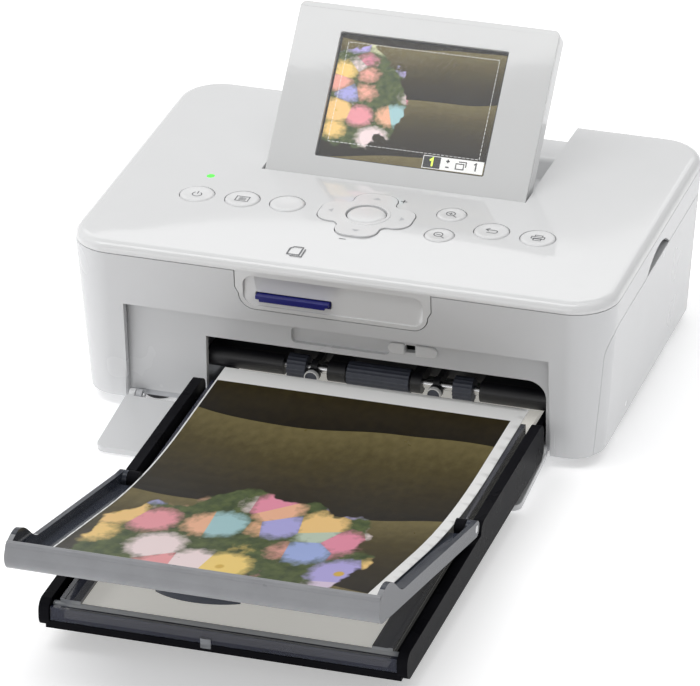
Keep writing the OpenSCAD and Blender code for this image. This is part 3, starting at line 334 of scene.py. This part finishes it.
def icon_grey():
    return finish("icon_grey", (0.13, 0.135, 0.145), 0.4, vary=0.04)


def pale_grey():
    return finish("pale_grey", (0.55, 0.56, 0.58), 0.4, vary=0.03)


def icon_black():
    return finish("icon_black", (0.01, 0.01, 0.012), 0.4, vary=0.1)


def green_light():
    return finish("green_light", (0.06, 0.55, 0.05), 0.2, vary=0.1, patch=1.0,
                  emission_color=(0.10, 0.90, 0.06, 1), emission_strength=0.75)


def smoky_grey():
    return finish("smoky_grey", (0.042, 0.048, 0.064), 0.08, vary=0.08, grain=1.5, bump=0.03,
                  alpha=0.96, specular_ior_level=0.25)


def smoky_lip():
    return finish("smoky_lip", (0.27, 0.275, 0.29), 0.3, vary=0.06, patch=9.0, grain=0.5,
                  bump=0.06, alpha=0.94)


def smoky_navy():
    return finish("smoky_navy", (0.022, 0.026, 0.05), 0.08, vary=0.08, grain=1.5, bump=0.03,
                  alpha=0.72)


def clear_bar():
    return finish("clear_bar", (0.42, 0.44, 0.47), 0.05, vary=0.05, bump=0.02, alpha=0.6,
                  coat_weight=0.5)


def clear_window():
    return finish("clear_window", (0.9, 0.92, 0.95), 0.03, vary=0.01, grain=2.0, bump=0.004,
                  alpha=0.06)


def clear_clip():
    return finish("clear_clip", (0.5, 0.52, 0.55), 0.1, vary=0.02, alpha=0.45)


def paper_side():
    """Coated paper, whose cut edge shows the stack's sheets as fine lines.

    It glows faintly, so that the sheets show bright in the tray's shadow as in the photo.
    """
    if "paper" in _finishes:
        return _finishes["paper"]
    m = finish("paper", (0.88, 0.86, 0.80), 0.5, vary=0.01, bump=0.05,
               emission_color=(0.88, 0.86, 0.80, 1), emission_strength=0.4)
    t = m.node_tree
    where = t.nodes["Texture Coordinate"].outputs["Object"]
    lines = add(t, "TexWave", {"Scale": 1.0 / (0.9 * MM), "Distortion": 0.4, "Detail": 1.0},
                bands_direction="Z")
    t.links.new(where, lines.inputs["Vector"])
    b = t.nodes["Bump"]
    b.inputs["Strength"].default_value = 0.25
    t.links.new(lines.outputs["Fac"], b.inputs["Height"])
    return m


def math_node(tree, operation, a, b=None, clamp=False):
    n = add(tree, "Math", operation=operation, use_clamp=clamp)
    for socket, value in zip(n.inputs, (a, b)):
        if value is None:
            continue
        if hasattr(value, "links"):
            tree.links.new(value, socket)
        else:
            socket.default_value = value
    return n.outputs[0]


def mix_colour(tree, factor, a, b):
    n = add(tree, "Mix", data_type="RGBA")
    tree.links.new(factor, n.inputs[0])
    for socket, value in ((n.inputs[6], a), (n.inputs[7], b)):
        if hasattr(value, "links"):
            tree.links.new(value, socket)
        else:
            socket.default_value = (*value, 1)
    return n.outputs[2]


def flower_bank(tree, scale, centre, radius):
    """A made-up view over the UV map's unit square: olive dunes behind a bank of big flowers."""
    uv = add(tree, "TexCoord").outputs["UV"]

    def noise(scale, detail=3.0):
        n = add(tree, "TexNoise", {"Scale": scale, "Detail": detail})
        tree.links.new(uv, n.inputs["Vector"])
        return n.outputs["Fac"]

    # Dunes: broad soft bands, mottled with grass
    bands = add(tree, "TexWave", {"Scale": 0.8 * scale, "Distortion": 9.0, "Detail": 2.5,
                                  "Detail Scale": 0.45}, bands_direction="Y", wave_profile="SAW")
    tree.links.new(uv, bands.inputs["Vector"])
    tone = math_node(tree, "ADD", math_node(tree, "MULTIPLY", bands.outputs["Fac"], 0.75),
                     math_node(tree, "MULTIPLY", noise(34.0 * scale, 8.0), 0.30))
    dunes = ramp(tree, tone, (0.15, (0.009, 0.006, 0.002)), (0.4, (0.028, 0.020, 0.006)),
                 (0.65, (0.070, 0.054, 0.017)), (0.95, (0.170, 0.138, 0.055)))
    # Flowers: overlapping round heads in pastel colours that shade in toward a gold middle
    cells = add(tree, "TexVoronoi", {"Scale": 6.5 * scale, "Randomness": 0.8})
    tree.links.new(uv, cells.inputs["Vector"])
    hue = add(tree, "SeparateColor")
    tree.links.new(cells.outputs["Color"], hue.inputs[0])
    petals = ramp(tree, hue.outputs[0], (0.12, (0.74, 0.26, 0.36)), (0.3, (0.80, 0.46, 0.26)),
                  (0.45, (0.82, 0.62, 0.16)), (0.6, (0.13, 0.50, 0.74)), (0.75, (0.42, 0.36, 0.68)),
                  (0.88, (0.80, 0.66, 0.66)))
    distance = cells.outputs["Distance"]
    streaks = math_node(tree, "MULTIPLY", noise(38.0 * scale), 0.3)
    shade = math_node(tree, "ADD", math_node(tree, "MULTIPLY", distance, 0.9), streaks)
    leaf = ramp(tree, noise(30.0 * scale), (0.3, (0.03, 0.05, 0.015)), (0.7, (0.10, 0.13, 0.04)))
    between = math_node(tree, "MULTIPLY", math_node(tree, "SUBTRACT", shade, 0.56), 5.0, clamp=True)
    head = mix_colour(tree, between, petals, leaf)
    gold = math_node(tree, "MULTIPLY", math_node(tree, "SUBTRACT", 0.12, distance), 30.0,
                     clamp=True)
    bloom = mix_colour(tree, gold, head, (0.62, 0.40, 0.07))
    # The bank stands before the dunes in a rounded heap
    shift = add(tree, "VectorMath", {1: (*centre, 0)}, operation="SUBTRACT")
    tree.links.new(uv, shift.inputs[0])
    squeeze = add(tree, "VectorMath", {1: (1 / radius[0], 1 / radius[1], 0)}, operation="MULTIPLY")
    tree.links.new(shift.outputs[0], squeeze.inputs[0])
    away = add(tree, "VectorMath", operation="LENGTH")
    tree.links.new(squeeze.outputs[0], away.inputs[0])
    ragged = math_node(tree, "ADD", away.outputs["Value"],
                       math_node(tree, "MULTIPLY", noise(7.0), 0.7))
    bank = math_node(tree, "MULTIPLY", math_node(tree, "SUBTRACT", 1.32, ragged), 30.0, clamp=True)
    return mix_colour(tree, bank, dunes, bloom)


def picture(name, rough, centre, radius, glow=0.0, scale=1.0):
    """The made-up view as a finish, its flower bank at a centre and with radii in the UV map."""
    m = finish(name, (0.3, 0.28, 0.2), rough, bump=0.01, specular_ior_level=0.12)
    t = m.node_tree
    bsdf = t.nodes["Principled BSDF"]
    view = flower_bank(t, scale, centre, radius)
    t.links.new(view, bsdf.inputs["Base Color"])
    if glow:
        t.links.new(view, bsdf.inputs["Emission Color"])
        bsdf.inputs["Emission Strength"].default_value = glow
    return m


# ---------------------------------------------------------------- mesh tools
def welded(node, flat=0.3):
    """A CAD node's mesh as a bmesh with its split corners joined and its flat faces whole."""
    bm = bmesh.new()
    bm.from_mesh(NODES[node].data)
    bmesh.ops.remove_doubles(bm, verts=bm.verts, dist=2e-6)
    bmesh.ops.dissolve_limit(bm, angle_limit=math.radians(flat), verts=bm.verts, edges=bm.edges)
    return bm


def cut(bm, axis, place):
    """Cut a mesh right across at a place along an axis, in metres."""
    at, way = Vector((0, 0, 0)), Vector((0, 0, 0))
    at[axis], way[axis] = place, 1
    bmesh.ops.bisect_plane(bm, geom=bm.verts[:] + bm.edges[:] + bm.faces[:], dist=1e-7,
                           plane_co=at, plane_no=way)


def sharp_edges(bm):
    limit = math.radians(SHARP)
    return [e for e in bm.edges if e.is_manifold and e.calc_face_angle() > limit]


def piece(name, bm, material, body, soft=40):
    """A new object from a bmesh, in the row frame, riding on a body."""
    mesh = bpy.data.meshes.new(name)
    bm.to_mesh(mesh)
    bm.free()
    mesh.shade_smooth()
    mesh.set_sharp_from_angle(angle=math.radians(soft))
    for m in material if isinstance(material, (list, tuple)) else [material]:
        mesh.materials.append(m)
    o = bpy.data.objects.new(name, mesh)
    bpy.context.scene.collection.objects.link(o)
    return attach(o, body) if body else o


def round_edges(o, width, segments=2, angle=SHARP):
    """Give the sharp edges of a piece a small round, with its width in mm."""
    b = o.modifiers.new("edge_round", "BEVEL")
    b.width, b.segments, b.limit_method = width * MM, segments, "ANGLE"
    b.angle_limit = math.radians(angle)


def dress(node, material, width=0.25, soft=40):
    """Stand a finished copy in for a CAD node: edges broken by a small round, faces kept flat."""
    o = piece(node + "_skin", welded(node), material, BODY_OF[node], soft=180 if width else soft)
    if width:
        round_edges(o, width)
        w = o.modifiers.new("flat_faces", "WEIGHTED_NORMAL")
        w.mode, w.weight, w.keep_sharp = "FACE_AREA", 100, True
    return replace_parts(o, node)


def second_finish(o, material, where):
    """Give the faces of a piece whose middle passes where() a second material."""
    o.data.materials.append(material)
    for f in o.data.polygons:
        if where(own(f.center)):
            f.material_index = 1


def poly(bm, points):
    return bm.faces.new([bm.verts.new(p) for p in points])


def lathe(bm, centre, axis, profile, steps=48):
    """A closed turned form: profile is (radius, height along axis) in mm from centre."""
    turn = Vector(axis).to_track_quat("Z", "Y").to_matrix()
    rings = []
    for r, h in profile:
        rings.append([bm.verts.new(row(*(Vector(centre) + turn @ Vector(
            (r * math.cos(math.tau * k / steps), r * math.sin(math.tau * k / steps), h)))))
            for k in range(steps)])
    for a, b in zip(rings, rings[1:] + rings[:1]):
        for k in range(steps):
            bm.faces.new((a[k], a[(k + 1) % steps], b[(k + 1) % steps], b[k]))


def ribbon(bm, line, width, place, closed=False, step=0.5):
    """A flat stroke along a line of (x, y) points, laid on a surface by place(x, y)."""
    pts = [Vector(p) for p in line]
    if closed:
        pts.append(pts[0])
    fine = [pts[0]]
    for a, b in zip(pts, pts[1:]):
        n = max(1, math.ceil((b - a).length / step))
        fine += [a.lerp(b, k / n) for k in range(1, n + 1)]
    count = len(fine)
    sides = []
    for k, p in enumerate(fine):
        before = fine[k - 1] if k else (fine[-2] if closed else p)
        after = fine[k + 1] if k < count - 1 else (fine[1] if closed else p)
        d1, d2 = (p - before), (after - p)
        n = Vector((0, 0))
        for d in (d1, d2):
            if d.length > 1e-9:
                n += Vector((-d.y, d.x)).normalized()
        n.normalize()
        ref = d1 if d1.length > 1e-9 else d2
        cos_half = max(abs(n.dot(Vector((-ref.y, ref.x)).normalized())), 0.5)
        off = n * (width / 2 / cos_half)
        sides.append((bm.verts.new(place(*(p + off))), bm.verts.new(place(*(p - off)))))
    for (a, b), (c, d) in zip(sides, sides[1:]):
        bm.faces.new((b, d, c, a))


def arc(x, y, r, a0, a1, steps=16):
    return [(x + r * math.cos(math.radians(a0 + (a1 - a0) * k / steps)),
             y + r * math.sin(math.radians(a0 + (a1 - a0) * k / steps))) for k in range(steps + 1)]


def rect(x0, y0, x1, y1):
    return [(x0, y0), (x1, y0), (x1, y1), (x0, y1)]


# ---------------------------------------------------------------- housing
def skin_piece(node, material, rim=0.25, merge=0.5, grid=None):
    """A housing piece whose outside takes the smooth form's normals, with softened rims."""
    bm = welded(node, merge)
    rims = [e for e in sharp_edges(bm) if any(
        on_skin(own(f.calc_center_median()), f.normal) for f in e.link_faces)]
    bmesh.ops.bevel(bm, geom=rims, offset=rim * MM, segments=2, profile=0.6, affect="EDGES",
                    clamp_overlap=True)
    if grid:
        # Small faces let the crown's slope change evenly
        for axis, middle, half in ((0, 0, HALF_W), (1, MID_Y, HALF_L)):
            for k in range(1, math.ceil(2 * half / grid)):
                cut(bm, axis, middle * MM + (k * grid - half) * MM)
    o = piece(node + "_skin", bm, material, BODY_OF[node], soft=35)
    mesh = o.data
    normals = [c.vector.copy() for c in mesh.corner_normals]
    for f in mesh.polygons:
        if not on_skin(own(f.center), f.normal):
            continue
        for k in f.loop_indices:
            normals[k] = skin_normal(own(mesh.vertices[mesh.loops[k].vertex_index].co))
    mesh.normals_split_custom_set(normals)
    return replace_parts(o, node)


def housing():
    skin_piece("top_cover", gloss_white(), rim=0.3, merge=2.0, grid=6.0)
    skin_piece("main_shell", shell_white())
    skin_piece("ink_door", shell_white())
    dress("front_panel", shell_white(), 0.3)
    dress("base_pan", dark_base(), 0.2)
    dress("rubber_feet", rubber(), 0.4)
    dress("front_door", shell_white(), 0.5)
    dress("front_door_pins", steel(), 0)
    dress("ink_door_pins", steel(), 0)


def catch():
    """The two white halves of the sliding catch over the mouth, either side of its slot."""
    (x0, x1), (s0, s1), (z0, z1), r = CATCH_X, CATCH_SLOT_X, CATCH_Z, CATCH_R
    left = arc(x0 + r, z0 + r, r, 270, 90) + [(s0, z1), (s0, z0)]
    right = arc(x1 - r, z0 + r, r, -90, 90) + [(s1, z1), (s1, z0)]
    for name, outline in (("catch_left", left), ("catch_right", right)):
        bm = bmesh.new()
        f = poly(bm, [row(x, BEZEL_Y + CATCH_SINK, z) for x, z in outline])
        out = bmesh.ops.extrude_face_region(bm, geom=[f])["geom"]
        bmesh.ops.translate(bm, verts=[v for v in out if isinstance(v, bmesh.types.BMVert)],
                            vec=Vector((0, -CATCH_T * MM, 0)))
        bmesh.ops.recalc_face_normals(bm, faces=bm.faces)
        o = piece(name, bm, key_white(), "printer")
        round_edges(o, 0.45, segments=3, angle=50)


def screws():
    """Countersunk screws under the base, beside the feet."""
    head = [(0.001, 0), (0.9, 0), (2.0, 0), (2.5, 0.25), (2.5, -0.05), (0.001, -0.05)]
    bm = bmesh.new()
    for x in (-SCREW_X, SCREW_X):
        for y in (-SCREW_Y, SCREW_Y):
            lathe(bm, (x, y, SCREW_Z), (0, 0, -1), head)
    piece("base_screws", bm, steel(), "printer")


# ---------------------------------------------------------------- controls
def on_cover(x, y):
    return row(x, y, crown_z(x, y) + MARK_LIFT)


def on_button(node):
    """Places a point on a button's dished cap, given from the button's middle.

    The dish is 0.3 mm deep in the middle and 0.22 halfway out, and ends 0.9 inside the rim.
    """
    bx, by, r = BUTTONS[node]
    cx, cy = OK_AT[0] + bx, OK_AT[1] + by
    rim = crown_z(cx, cy) + BUTTON_RISE

    def place(x, y):
        d = math.hypot(x, y)
        if d < r / 2:
            drop = 0.3 - 0.16 * d / r
        else:
            drop = 0.22 * max(0, 1 - (d - r / 2) / (r / 2 - 0.9))
        return row(cx + x, cy + y, rim - drop + MARK_LIFT)

    return place


# Strokes of each button's mark from its middle, and whether each stroke closes on itself
LENS = (arc(-0.4, 0.4, 1.4, 0, 360, 24)[:-1], True)
HANDLE = ([(0.6, -0.6), (2.0, -1.9)], False)
ICONS = {
    "power_button": [(arc(0, -0.2, 1.5, 125, 415), False), ([(0, 0.1), (0, 1.9)], False)],
    "menu_button": [(rect(-2.1, -1.6, 2.1, 1.6), True), ([(-1.2, 0.75), (1.2, 0.75)], False),
                    ([(-1.2, 0), (1.2, 0)], False), ([(-1.2, -0.75), (1.2, -0.75)], False)],
    "zoom_in_button": [LENS, HANDLE, ([(-1.1, 0.4), (0.3, 0.4)], False),
                       ([(-0.4, -0.3), (-0.4, 1.1)], False)],
    "zoom_out_button": [LENS, HANDLE, ([(-1.1, 0.4), (0.3, 0.4)], False)],
    "back_button": [
        ([(-2.0, 0.8), (0.9, 0.8)] + arc(0.9, -0.2, 1.0, 90, -90, 10) + [(-1.4, -1.2)], False),
        ([(-0.9, 1.8), (-2.0, 0.8), (-0.9, -0.2)], False)],
    "print_button": [(rect(-2.1, -0.5, 2.1, 0.9), True), (rect(-1.2, -1.7, 1.2, -0.1), True),
                     ([(-1.2, 0.9), (-1.2, 1.9), (1.2, 1.9), (1.2, 0.9)], False)],
}


def controls():
    for node in list(BUTTONS) + ["ok_button"]:
        dress(node, key_white(), 0)
    dress("nav_pad", key_white(), 0.35)
    dress("pad_pivot", grey_rubber(), 0)
    for node, lines in ICONS.items():
        bm = bmesh.new()
        for line, closed in lines:
            ribbon(bm, line, ICON_W, on_button(node), closed)
        piece(node + "_mark", bm, icon_grey(), BODY_OF[node])
    # Arrowheads on the pad's lobes
    bm = bmesh.new()
    top = crown_z(*OK_AT) + BUTTON_RISE
    for k in range(4):
        turn = Matrix.Rotation(math.radians(90 * k), 2)
        tip = [turn @ Vector(p) for p in ((12.6, 0), (11.2, 1.3), (11.2, -1.3))]
        poly(bm, [row(OK_AT[0] + p.x, OK_AT[1] + p.y, top + MARK_LIFT) for p in tip])
    piece("pad_arrows", bm, pale_grey(), "pad")
    # Plus and minus beside the pad, and a card over its slot
    bm = bmesh.new()
    arm = 1.1
    x, y = OK_AT[0] + PLUS_AT[0], OK_AT[1] + PLUS_AT[1]
    ribbon(bm, [(x - arm, y), (x + arm, y)], MARK_W, on_cover)
    ribbon(bm, [(x, y - arm), (x, y + arm)], MARK_W, on_cover)
    x, y = OK_AT[0] + MINUS_AT[0], OK_AT[1] + MINUS_AT[1]
    ribbon(bm, [(x - arm, y), (x + arm, y)], MARK_W, on_cover)
    x, y = CARD_MARK_AT
    outline = [(-2, -2.4), (2, -2.4), (2, 2.6), (-0.8, 2.6), (-2, 1.4)]
    ribbon(bm, [(x + u, y + v) for u, v in outline], MARK_W, on_cover, closed=True)
    ribbon(bm, [(x - 0.8, y - 3.4), (x + 3, y - 3.4), (x + 3, y + 1.6)], MARK_W, on_cover)
    piece("cover_marks", bm, icon_grey(), "printer")
    dress("status_light", green_light(), 0.2)


# ---------------------------------------------------------------- screen
def on_screen(u, v, lift):
    """A point of the panel: u along its width, v up it from the pivot, lift off its middle."""
    p = hinge_at("screen_tilt")
    c, s = math.cos(SCREEN_TILT), math.sin(SCREEN_TILT)
    return row(p.x + u, p.y + v * c - lift * s, p.z + v * s + lift * c)


def screen():
    dress("screen_back", gloss_white(), 0.6)
    dress("screen_front", screen_face(), 0.35)
    dress("screen_hinge_pins", steel(), 0)
    dress("screen_window", clear_window(), 0.15)
    # The display: a black module, with the picture and its status strip on its face
    piece_o = piece("lcd_panel_skin", welded("lcd_panel"), icon_black(), "screen")
    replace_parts(piece_o, "lcd_panel")

    def layer(lift):
        return lambda u, v: on_screen(u, v, PANEL_T / 2 - DISPLAY_SINK + lift)

    # Thin layers over one another, and the picture's lower right corner
    on_glass, on_picture, on_strip, on_figures = map(layer, (0.005, 0.012, 0.018, 0.024))
    x1, y0 = LCD_W / 2, LCD_V

    bm = bmesh.new()
    uv = bm.loops.layers.uv.new("UVMap")
    f = poly(bm, [on_glass(*p) for p in rect(-x1, y0, x1, y0 + LCD_H)])
    for loop, corner in zip(f.loops, rect(0, 0, 1, 1)):
        loop[uv].uv = corner
    view = picture("lcd_view", 0.3, (0.12, 0.5), (0.36, 0.42), glow=0.42, scale=0.9)
    piece("lcd_picture", bm, view, "screen")

    bm = bmesh.new()
    poly(bm, [on_picture(*p) for p in rect(x1 - 20.5, y0 + 0.3, x1 - 0.3, y0 + 4.6)])
    white = finish("lcd_white", (0.8, 0.8, 0.78), 0.3, vary=0.01,
                   emission_color=(1, 1, 0.97, 1), emission_strength=0.35)
    piece("lcd_strip", bm, white, "screen")

    # Dark field for the count, a figure one, plus and minus, and a small frame with its shadow
    bm = bmesh.new()
    poly(bm, [on_strip(*p) for p in rect(x1 - 20.3, y0 + 0.5, x1 - 14.6, y0 + 4.4)])
    for width, closed, line in (
            (0.45, False, [(-3.4, 3.3), (-2.8, 3.8), (-2.8, 1.2)]),
            (0.45, False, [(-12.8, 3.4), (-11.6, 3.4)]),
            (0.45, False, [(-12.2, 2.8), (-12.2, 4.0)]),
            (0.45, False, [(-12.8, 1.4), (-11.6, 1.4)]),
            (0.35, True, rect(-9.4, 1.2, -6.8, 3.0)),
            (0.35, False, [(-8.6, 3.7), (-6.1, 3.7), (-6.1, 2.0)])):
        ribbon(bm, [(x1 + u, y0 + v) for u, v in line], width, on_strip, closed)
    piece("lcd_figures", bm, icon_black(), "screen")

    bm = bmesh.new()
    ribbon(bm, [(x1 - 18.2, y0 + 3.0), (x1 - 17.3, y0 + 3.8), (x1 - 17.3, y0 + 1.1)], 0.6,
           on_figures)
    lime = finish("lcd_lime", (0.6, 0.75, 0.1), 0.3, emission_color=(0.75, 0.95, 0.1, 1),
                  emission_strength=0.8)
    piece("lcd_count", bm, lime, "screen")

    # Thin crop line round the picture, drawn over 0.7 of each step
    bm = bmesh.new()
    inset, step, drawn = 2.2, 1.4, 0.7
    loop = rect(-x1 + inset, y0 + inset + 3, x1 - inset, y0 + LCD_H - inset)
    for p, q in zip(loop, loop[1:] + loop[:1]):
        p, q = Vector(p), Vector(q)
        n = int((q - p).length / step)
        for k in range(n):
            ribbon(bm, [p.lerp(q, k / n), p.lerp(q, (k + drawn) / n)], 0.15, on_picture)
    piece("lcd_crop_line", bm, white, "screen")


# ---------------------------------------------------------------- inside and drive
def inside():
    dress("chassis", zinc_steel(), 0.1)
    dress("exit_guide", black_plastic(), 0.15)
    dress("button_board", circuit_board(), 0)
    dress("main_board", circuit_board(), 0)
    dress("card_socket", steel(), 0.15)
    dress("ink_cassette", spool_grey(), 0.2)
    dress("supply_spool", dye_film(), 0.2)
    dress("take_up_spool", spool_grey(), 0.2)
    dress("ink_ribbon", dye_film(), 0)
    dress("print_head", head_ceramic(), 0.15)
    dress("platen_roller", black_plastic(), 0.3)
    for gear in ("platen_gear", "transfer_gear", "idler_gear", "feed_gear"):
        dress(gear, gear_ivory(), 0, soft=25)
    dress("motor_pinion", brass(), 0, soft=25)
    dress("drive_motor", steel(), 0.3)
    dress("feed_shaft", steel(), 0.2)
    dress("feed_rollers", roller_rubber(), 0, soft=25)
    dress("dc_inlet", black_plastic(), 0.2)
    dress("usb_socket", steel(), 0.15)
    # Bearing faces that look out of the mouth beside the rollers, each with a thin white rim
    for name, material, profile in (
            ("bearing_rims", key_white(), [(1.95, 0.1), (2.0, 0.25), (2.25, 0.25), (2.32, 0.1),
                                           (2.32, -1.2), (2.24, -1.2), (2.2, 0), (1.97, 0)]),
            ("bearing_faces", roller_rubber(), [(0.001, 0.12), (1.2, 0.12), (1.9, 0.02),
                                                (1.94, -0.1), (1.9, -1.2), (0.001, -1.2)])):
        bm = bmesh.new()
        for x in BEARING_X:
            lathe(bm, (x, BEARING_Y, BEARING_Z), (0, -1, 0), profile)
        piece(name, bm, material, "printer")
    dress("memory_card", card_blue(), 0.2)


# ---------------------------------------------------------------- cassette, tray and paper
def cassette():
    dress("cassette_base", cassette_black(), 0.3)
    # The bar behind the front wall of the inner cover is clearer than the rest of it
    front = own(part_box("cassette_cover")[0]).y
    second_finish(dress("cassette_cover", smoky_navy(), 0.2), clear_bar(),
                  lambda c: front + BAR_Y[0] < c.y < front + BAR_Y[1])
    dress("lift_plate", black_plastic(), 0.1)
    dress("paper_stack", paper_side(), 0)
    dress("stack_clip", clear_clip(), 0)
    dress("tray_pins", steel(), 0)
    # The lip is frosted, the sides and floor are smoky
    pivot = hinge_at("tray_fold")

    def on_lip(c):
        out = (pivot.y - c.y) * math.cos(TRAY_TILT) + (c.z - pivot.z) * math.sin(TRAY_TILT)
        return out > LIP_FROM

    second_finish(dress("output_tray", smoky_grey(), 0.25), smoky_lip(), on_lip)


def print_sheet():
    """The finished print: a glossy picture between white margins, bent over the tray's pivot."""
    bm = welded("print_sheet", 0.01)
    low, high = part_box("print_sheet")
    for k in range(1, PRINT_STRIPS):
        cut(bm, 1, low.y + (high.y - low.y) * k / PRINT_STRIPS)
    # White margins: the tear-off ends and the strip down the right side
    left, right, front, rear = PRINT_MARGINS
    picture_x = (low.x + left * MM, high.x - right * MM)
    picture_y = (low.y + front * MM, high.y - rear * MM)
    for axis, places in ((0, picture_x), (1, picture_y)):
        for place in places:
            cut(bm, axis, place)
    uv = bm.loops.layers.uv.new("UVMap")
    for f in bm.faces:
        c = f.calc_center_median()
        framed = picture_x[0] < c.x < picture_x[1] and picture_y[0] < c.y < picture_y[1]
        f.material_index = 1 if f.normal.z > 0.5 and framed else 0
        for loop in f.loops:
            co = loop.vert.co
            loop[uv].uv = ((co.x - picture_x[0]) / (picture_x[1] - picture_x[0]),
                           (co.y - picture_y[0]) / (picture_y[1] - picture_y[0]))
    white = finish("print_margin", (0.86, 0.86, 0.85), 0.22, vary=0.005, bump=0.01)
    view = picture("print_view", 0.3, (0.46, 0.2), (0.46, 0.36))
    o = piece("print_sheet_skin", bm, [white, view], None)
    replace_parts(o, "print_sheet")
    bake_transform(o)


# ---------------------------------------------------------------- camera, floor and light
# Camera: place in the printer's own frame, angles, and focal length in pixels of a picture that
# is 700 wide
CAMERA_AT = (516.54, -1662.88, 897.83)
CAMERA_YAW, CAMERA_PITCH, CAMERA_ROLL = (math.radians(a) for a in (-17.71, -27.18, -0.46))
FOCAL_PX, PICTURE_PX = 6041.54, 700
SENSOR_W = 36
# Room light: its mean strength, and how it changes toward the right and the rear
ROOM_LEVEL, ROOM_SLOPE = 0.53, (-0.25, 0.15, 0)
# Lamps in the row frame, in metres: name, place, aim, width, height, watts and roll in degrees.
# The lower edge of the back card is what the glossy cover shows as a line across the controls,
# and the screen card is what the screen's face shows.
LAMPS = (
    ("key", (-1.3, -0.3, 1.5), (0, 0.05, 0.03), 1.0, 1.0, 0.8, 0),
    ("front_fill", (-0.35, -2.0, 0.62), (0, -0.05, 0.04), 1.3, 0.7, 3.6, 0),
    ("top_fill", (0.55, 0.15, 1.4), (0.06, 0.08, 0.06), 1.0, 1.0, 2.6, 0),
    ("back_card", (-0.62, 2.0, 1.60), (0, 0.1, 0.05), 2.6, 0.8, 5.5, 8.0),
    ("screen_card", (-0.49, -0.36, 1.5), (-0.49, -0.36, 0), 1.5, 0.6, 8, 8.8),
)


def camera():
    ahead = Vector((math.sin(CAMERA_YAW) * math.cos(CAMERA_PITCH),
                    math.cos(CAMERA_YAW) * math.cos(CAMERA_PITCH), math.sin(CAMERA_PITCH)))
    right = ahead.cross(Vector((0, 0, 1))).normalized()
    up = right.cross(ahead)
    c, s = math.cos(CAMERA_ROLL), math.sin(CAMERA_ROLL)
    right, up = c * right + s * up, c * up - s * right
    data = bpy.data.cameras.new("camera")
    data.sensor_width = SENSOR_W
    data.lens = FOCAL_PX * SENSOR_W / PICTURE_PX
    data.clip_end = 20
    o = bpy.data.objects.new("camera", data)
    turn = Matrix((right, up, -ahead)).transposed().to_4x4()
    o.matrix_world = Matrix.Translation(row(*CAMERA_AT)) @ turn
    bpy.context.scene.collection.objects.link(o)
    bpy.context.scene.camera = o


def lamp(name, at, aim, width, height, power, roll):
    data = bpy.data.lights.new(name, "AREA")
    data.shape, data.size, data.size_y = "RECTANGLE", width, height
    data.energy = power
    o = bpy.data.objects.new(name, data)
    way = (Vector(aim) - Vector(at)).normalized()
    turn = way.to_track_quat("-Z", "Y").to_matrix() @ Matrix.Rotation(math.radians(roll), 3, "Z")
    o.matrix_world = Matrix.Translation(Vector(at)) @ turn.to_4x4()
    bpy.context.scene.collection.objects.link(o)
    o.visible_camera = False


def studio():
    floor = bmesh.new()
    bmesh.ops.create_grid(floor, x_segments=1, y_segments=1, size=6)
    o = piece("studio_floor", floor, floor_white(), None)
    # Just below the feet, so that the two surfaces don't share a plane
    o.location.z = -0.0002
    world = bpy.data.worlds.new("studio")
    bpy.context.scene.world = world
    world.use_nodes = True
    t = world.node_tree
    # A white room that is brighter to the left and behind than to the right and in front
    room = t.nodes["Background"]
    toward = add(t, "VectorMath", {1: ROOM_SLOPE}, operation="DOT_PRODUCT")
    t.links.new(add(t, "TexCoord").outputs["Generated"], toward.inputs[0])
    room.inputs["Color"].default_value = (1, 1, 1, 1)
    t.links.new(math_node(t, "ADD", toward.outputs["Value"], ROOM_LEVEL), room.inputs["Strength"])
    for one in LAMPS:
        lamp(*one)
    bpy.context.scene.view_settings.view_transform = "Standard"


def floor_white():
    """Paper floor that shows white to the eye and keeps the object's shadow."""
    m = finish("floor_white", (0.88, 0.88, 0.885), 0.6, vary=0.004, patch=400, grain=1.0, bump=0.01)
    t = m.node_tree
    bsdf = t.nodes["Principled BSDF"]
    bsdf.inputs["Emission Color"].default_value = (1, 1, 1, 1)
    bsdf.inputs["Emission Strength"].default_value = 0.4
    bsdf.inputs["Specular IOR Level"].default_value = 0.2
    return m


camera()
housing()
catch()
screws()
controls()
screen()
inside()
cassette()
print_sheet()
studio()
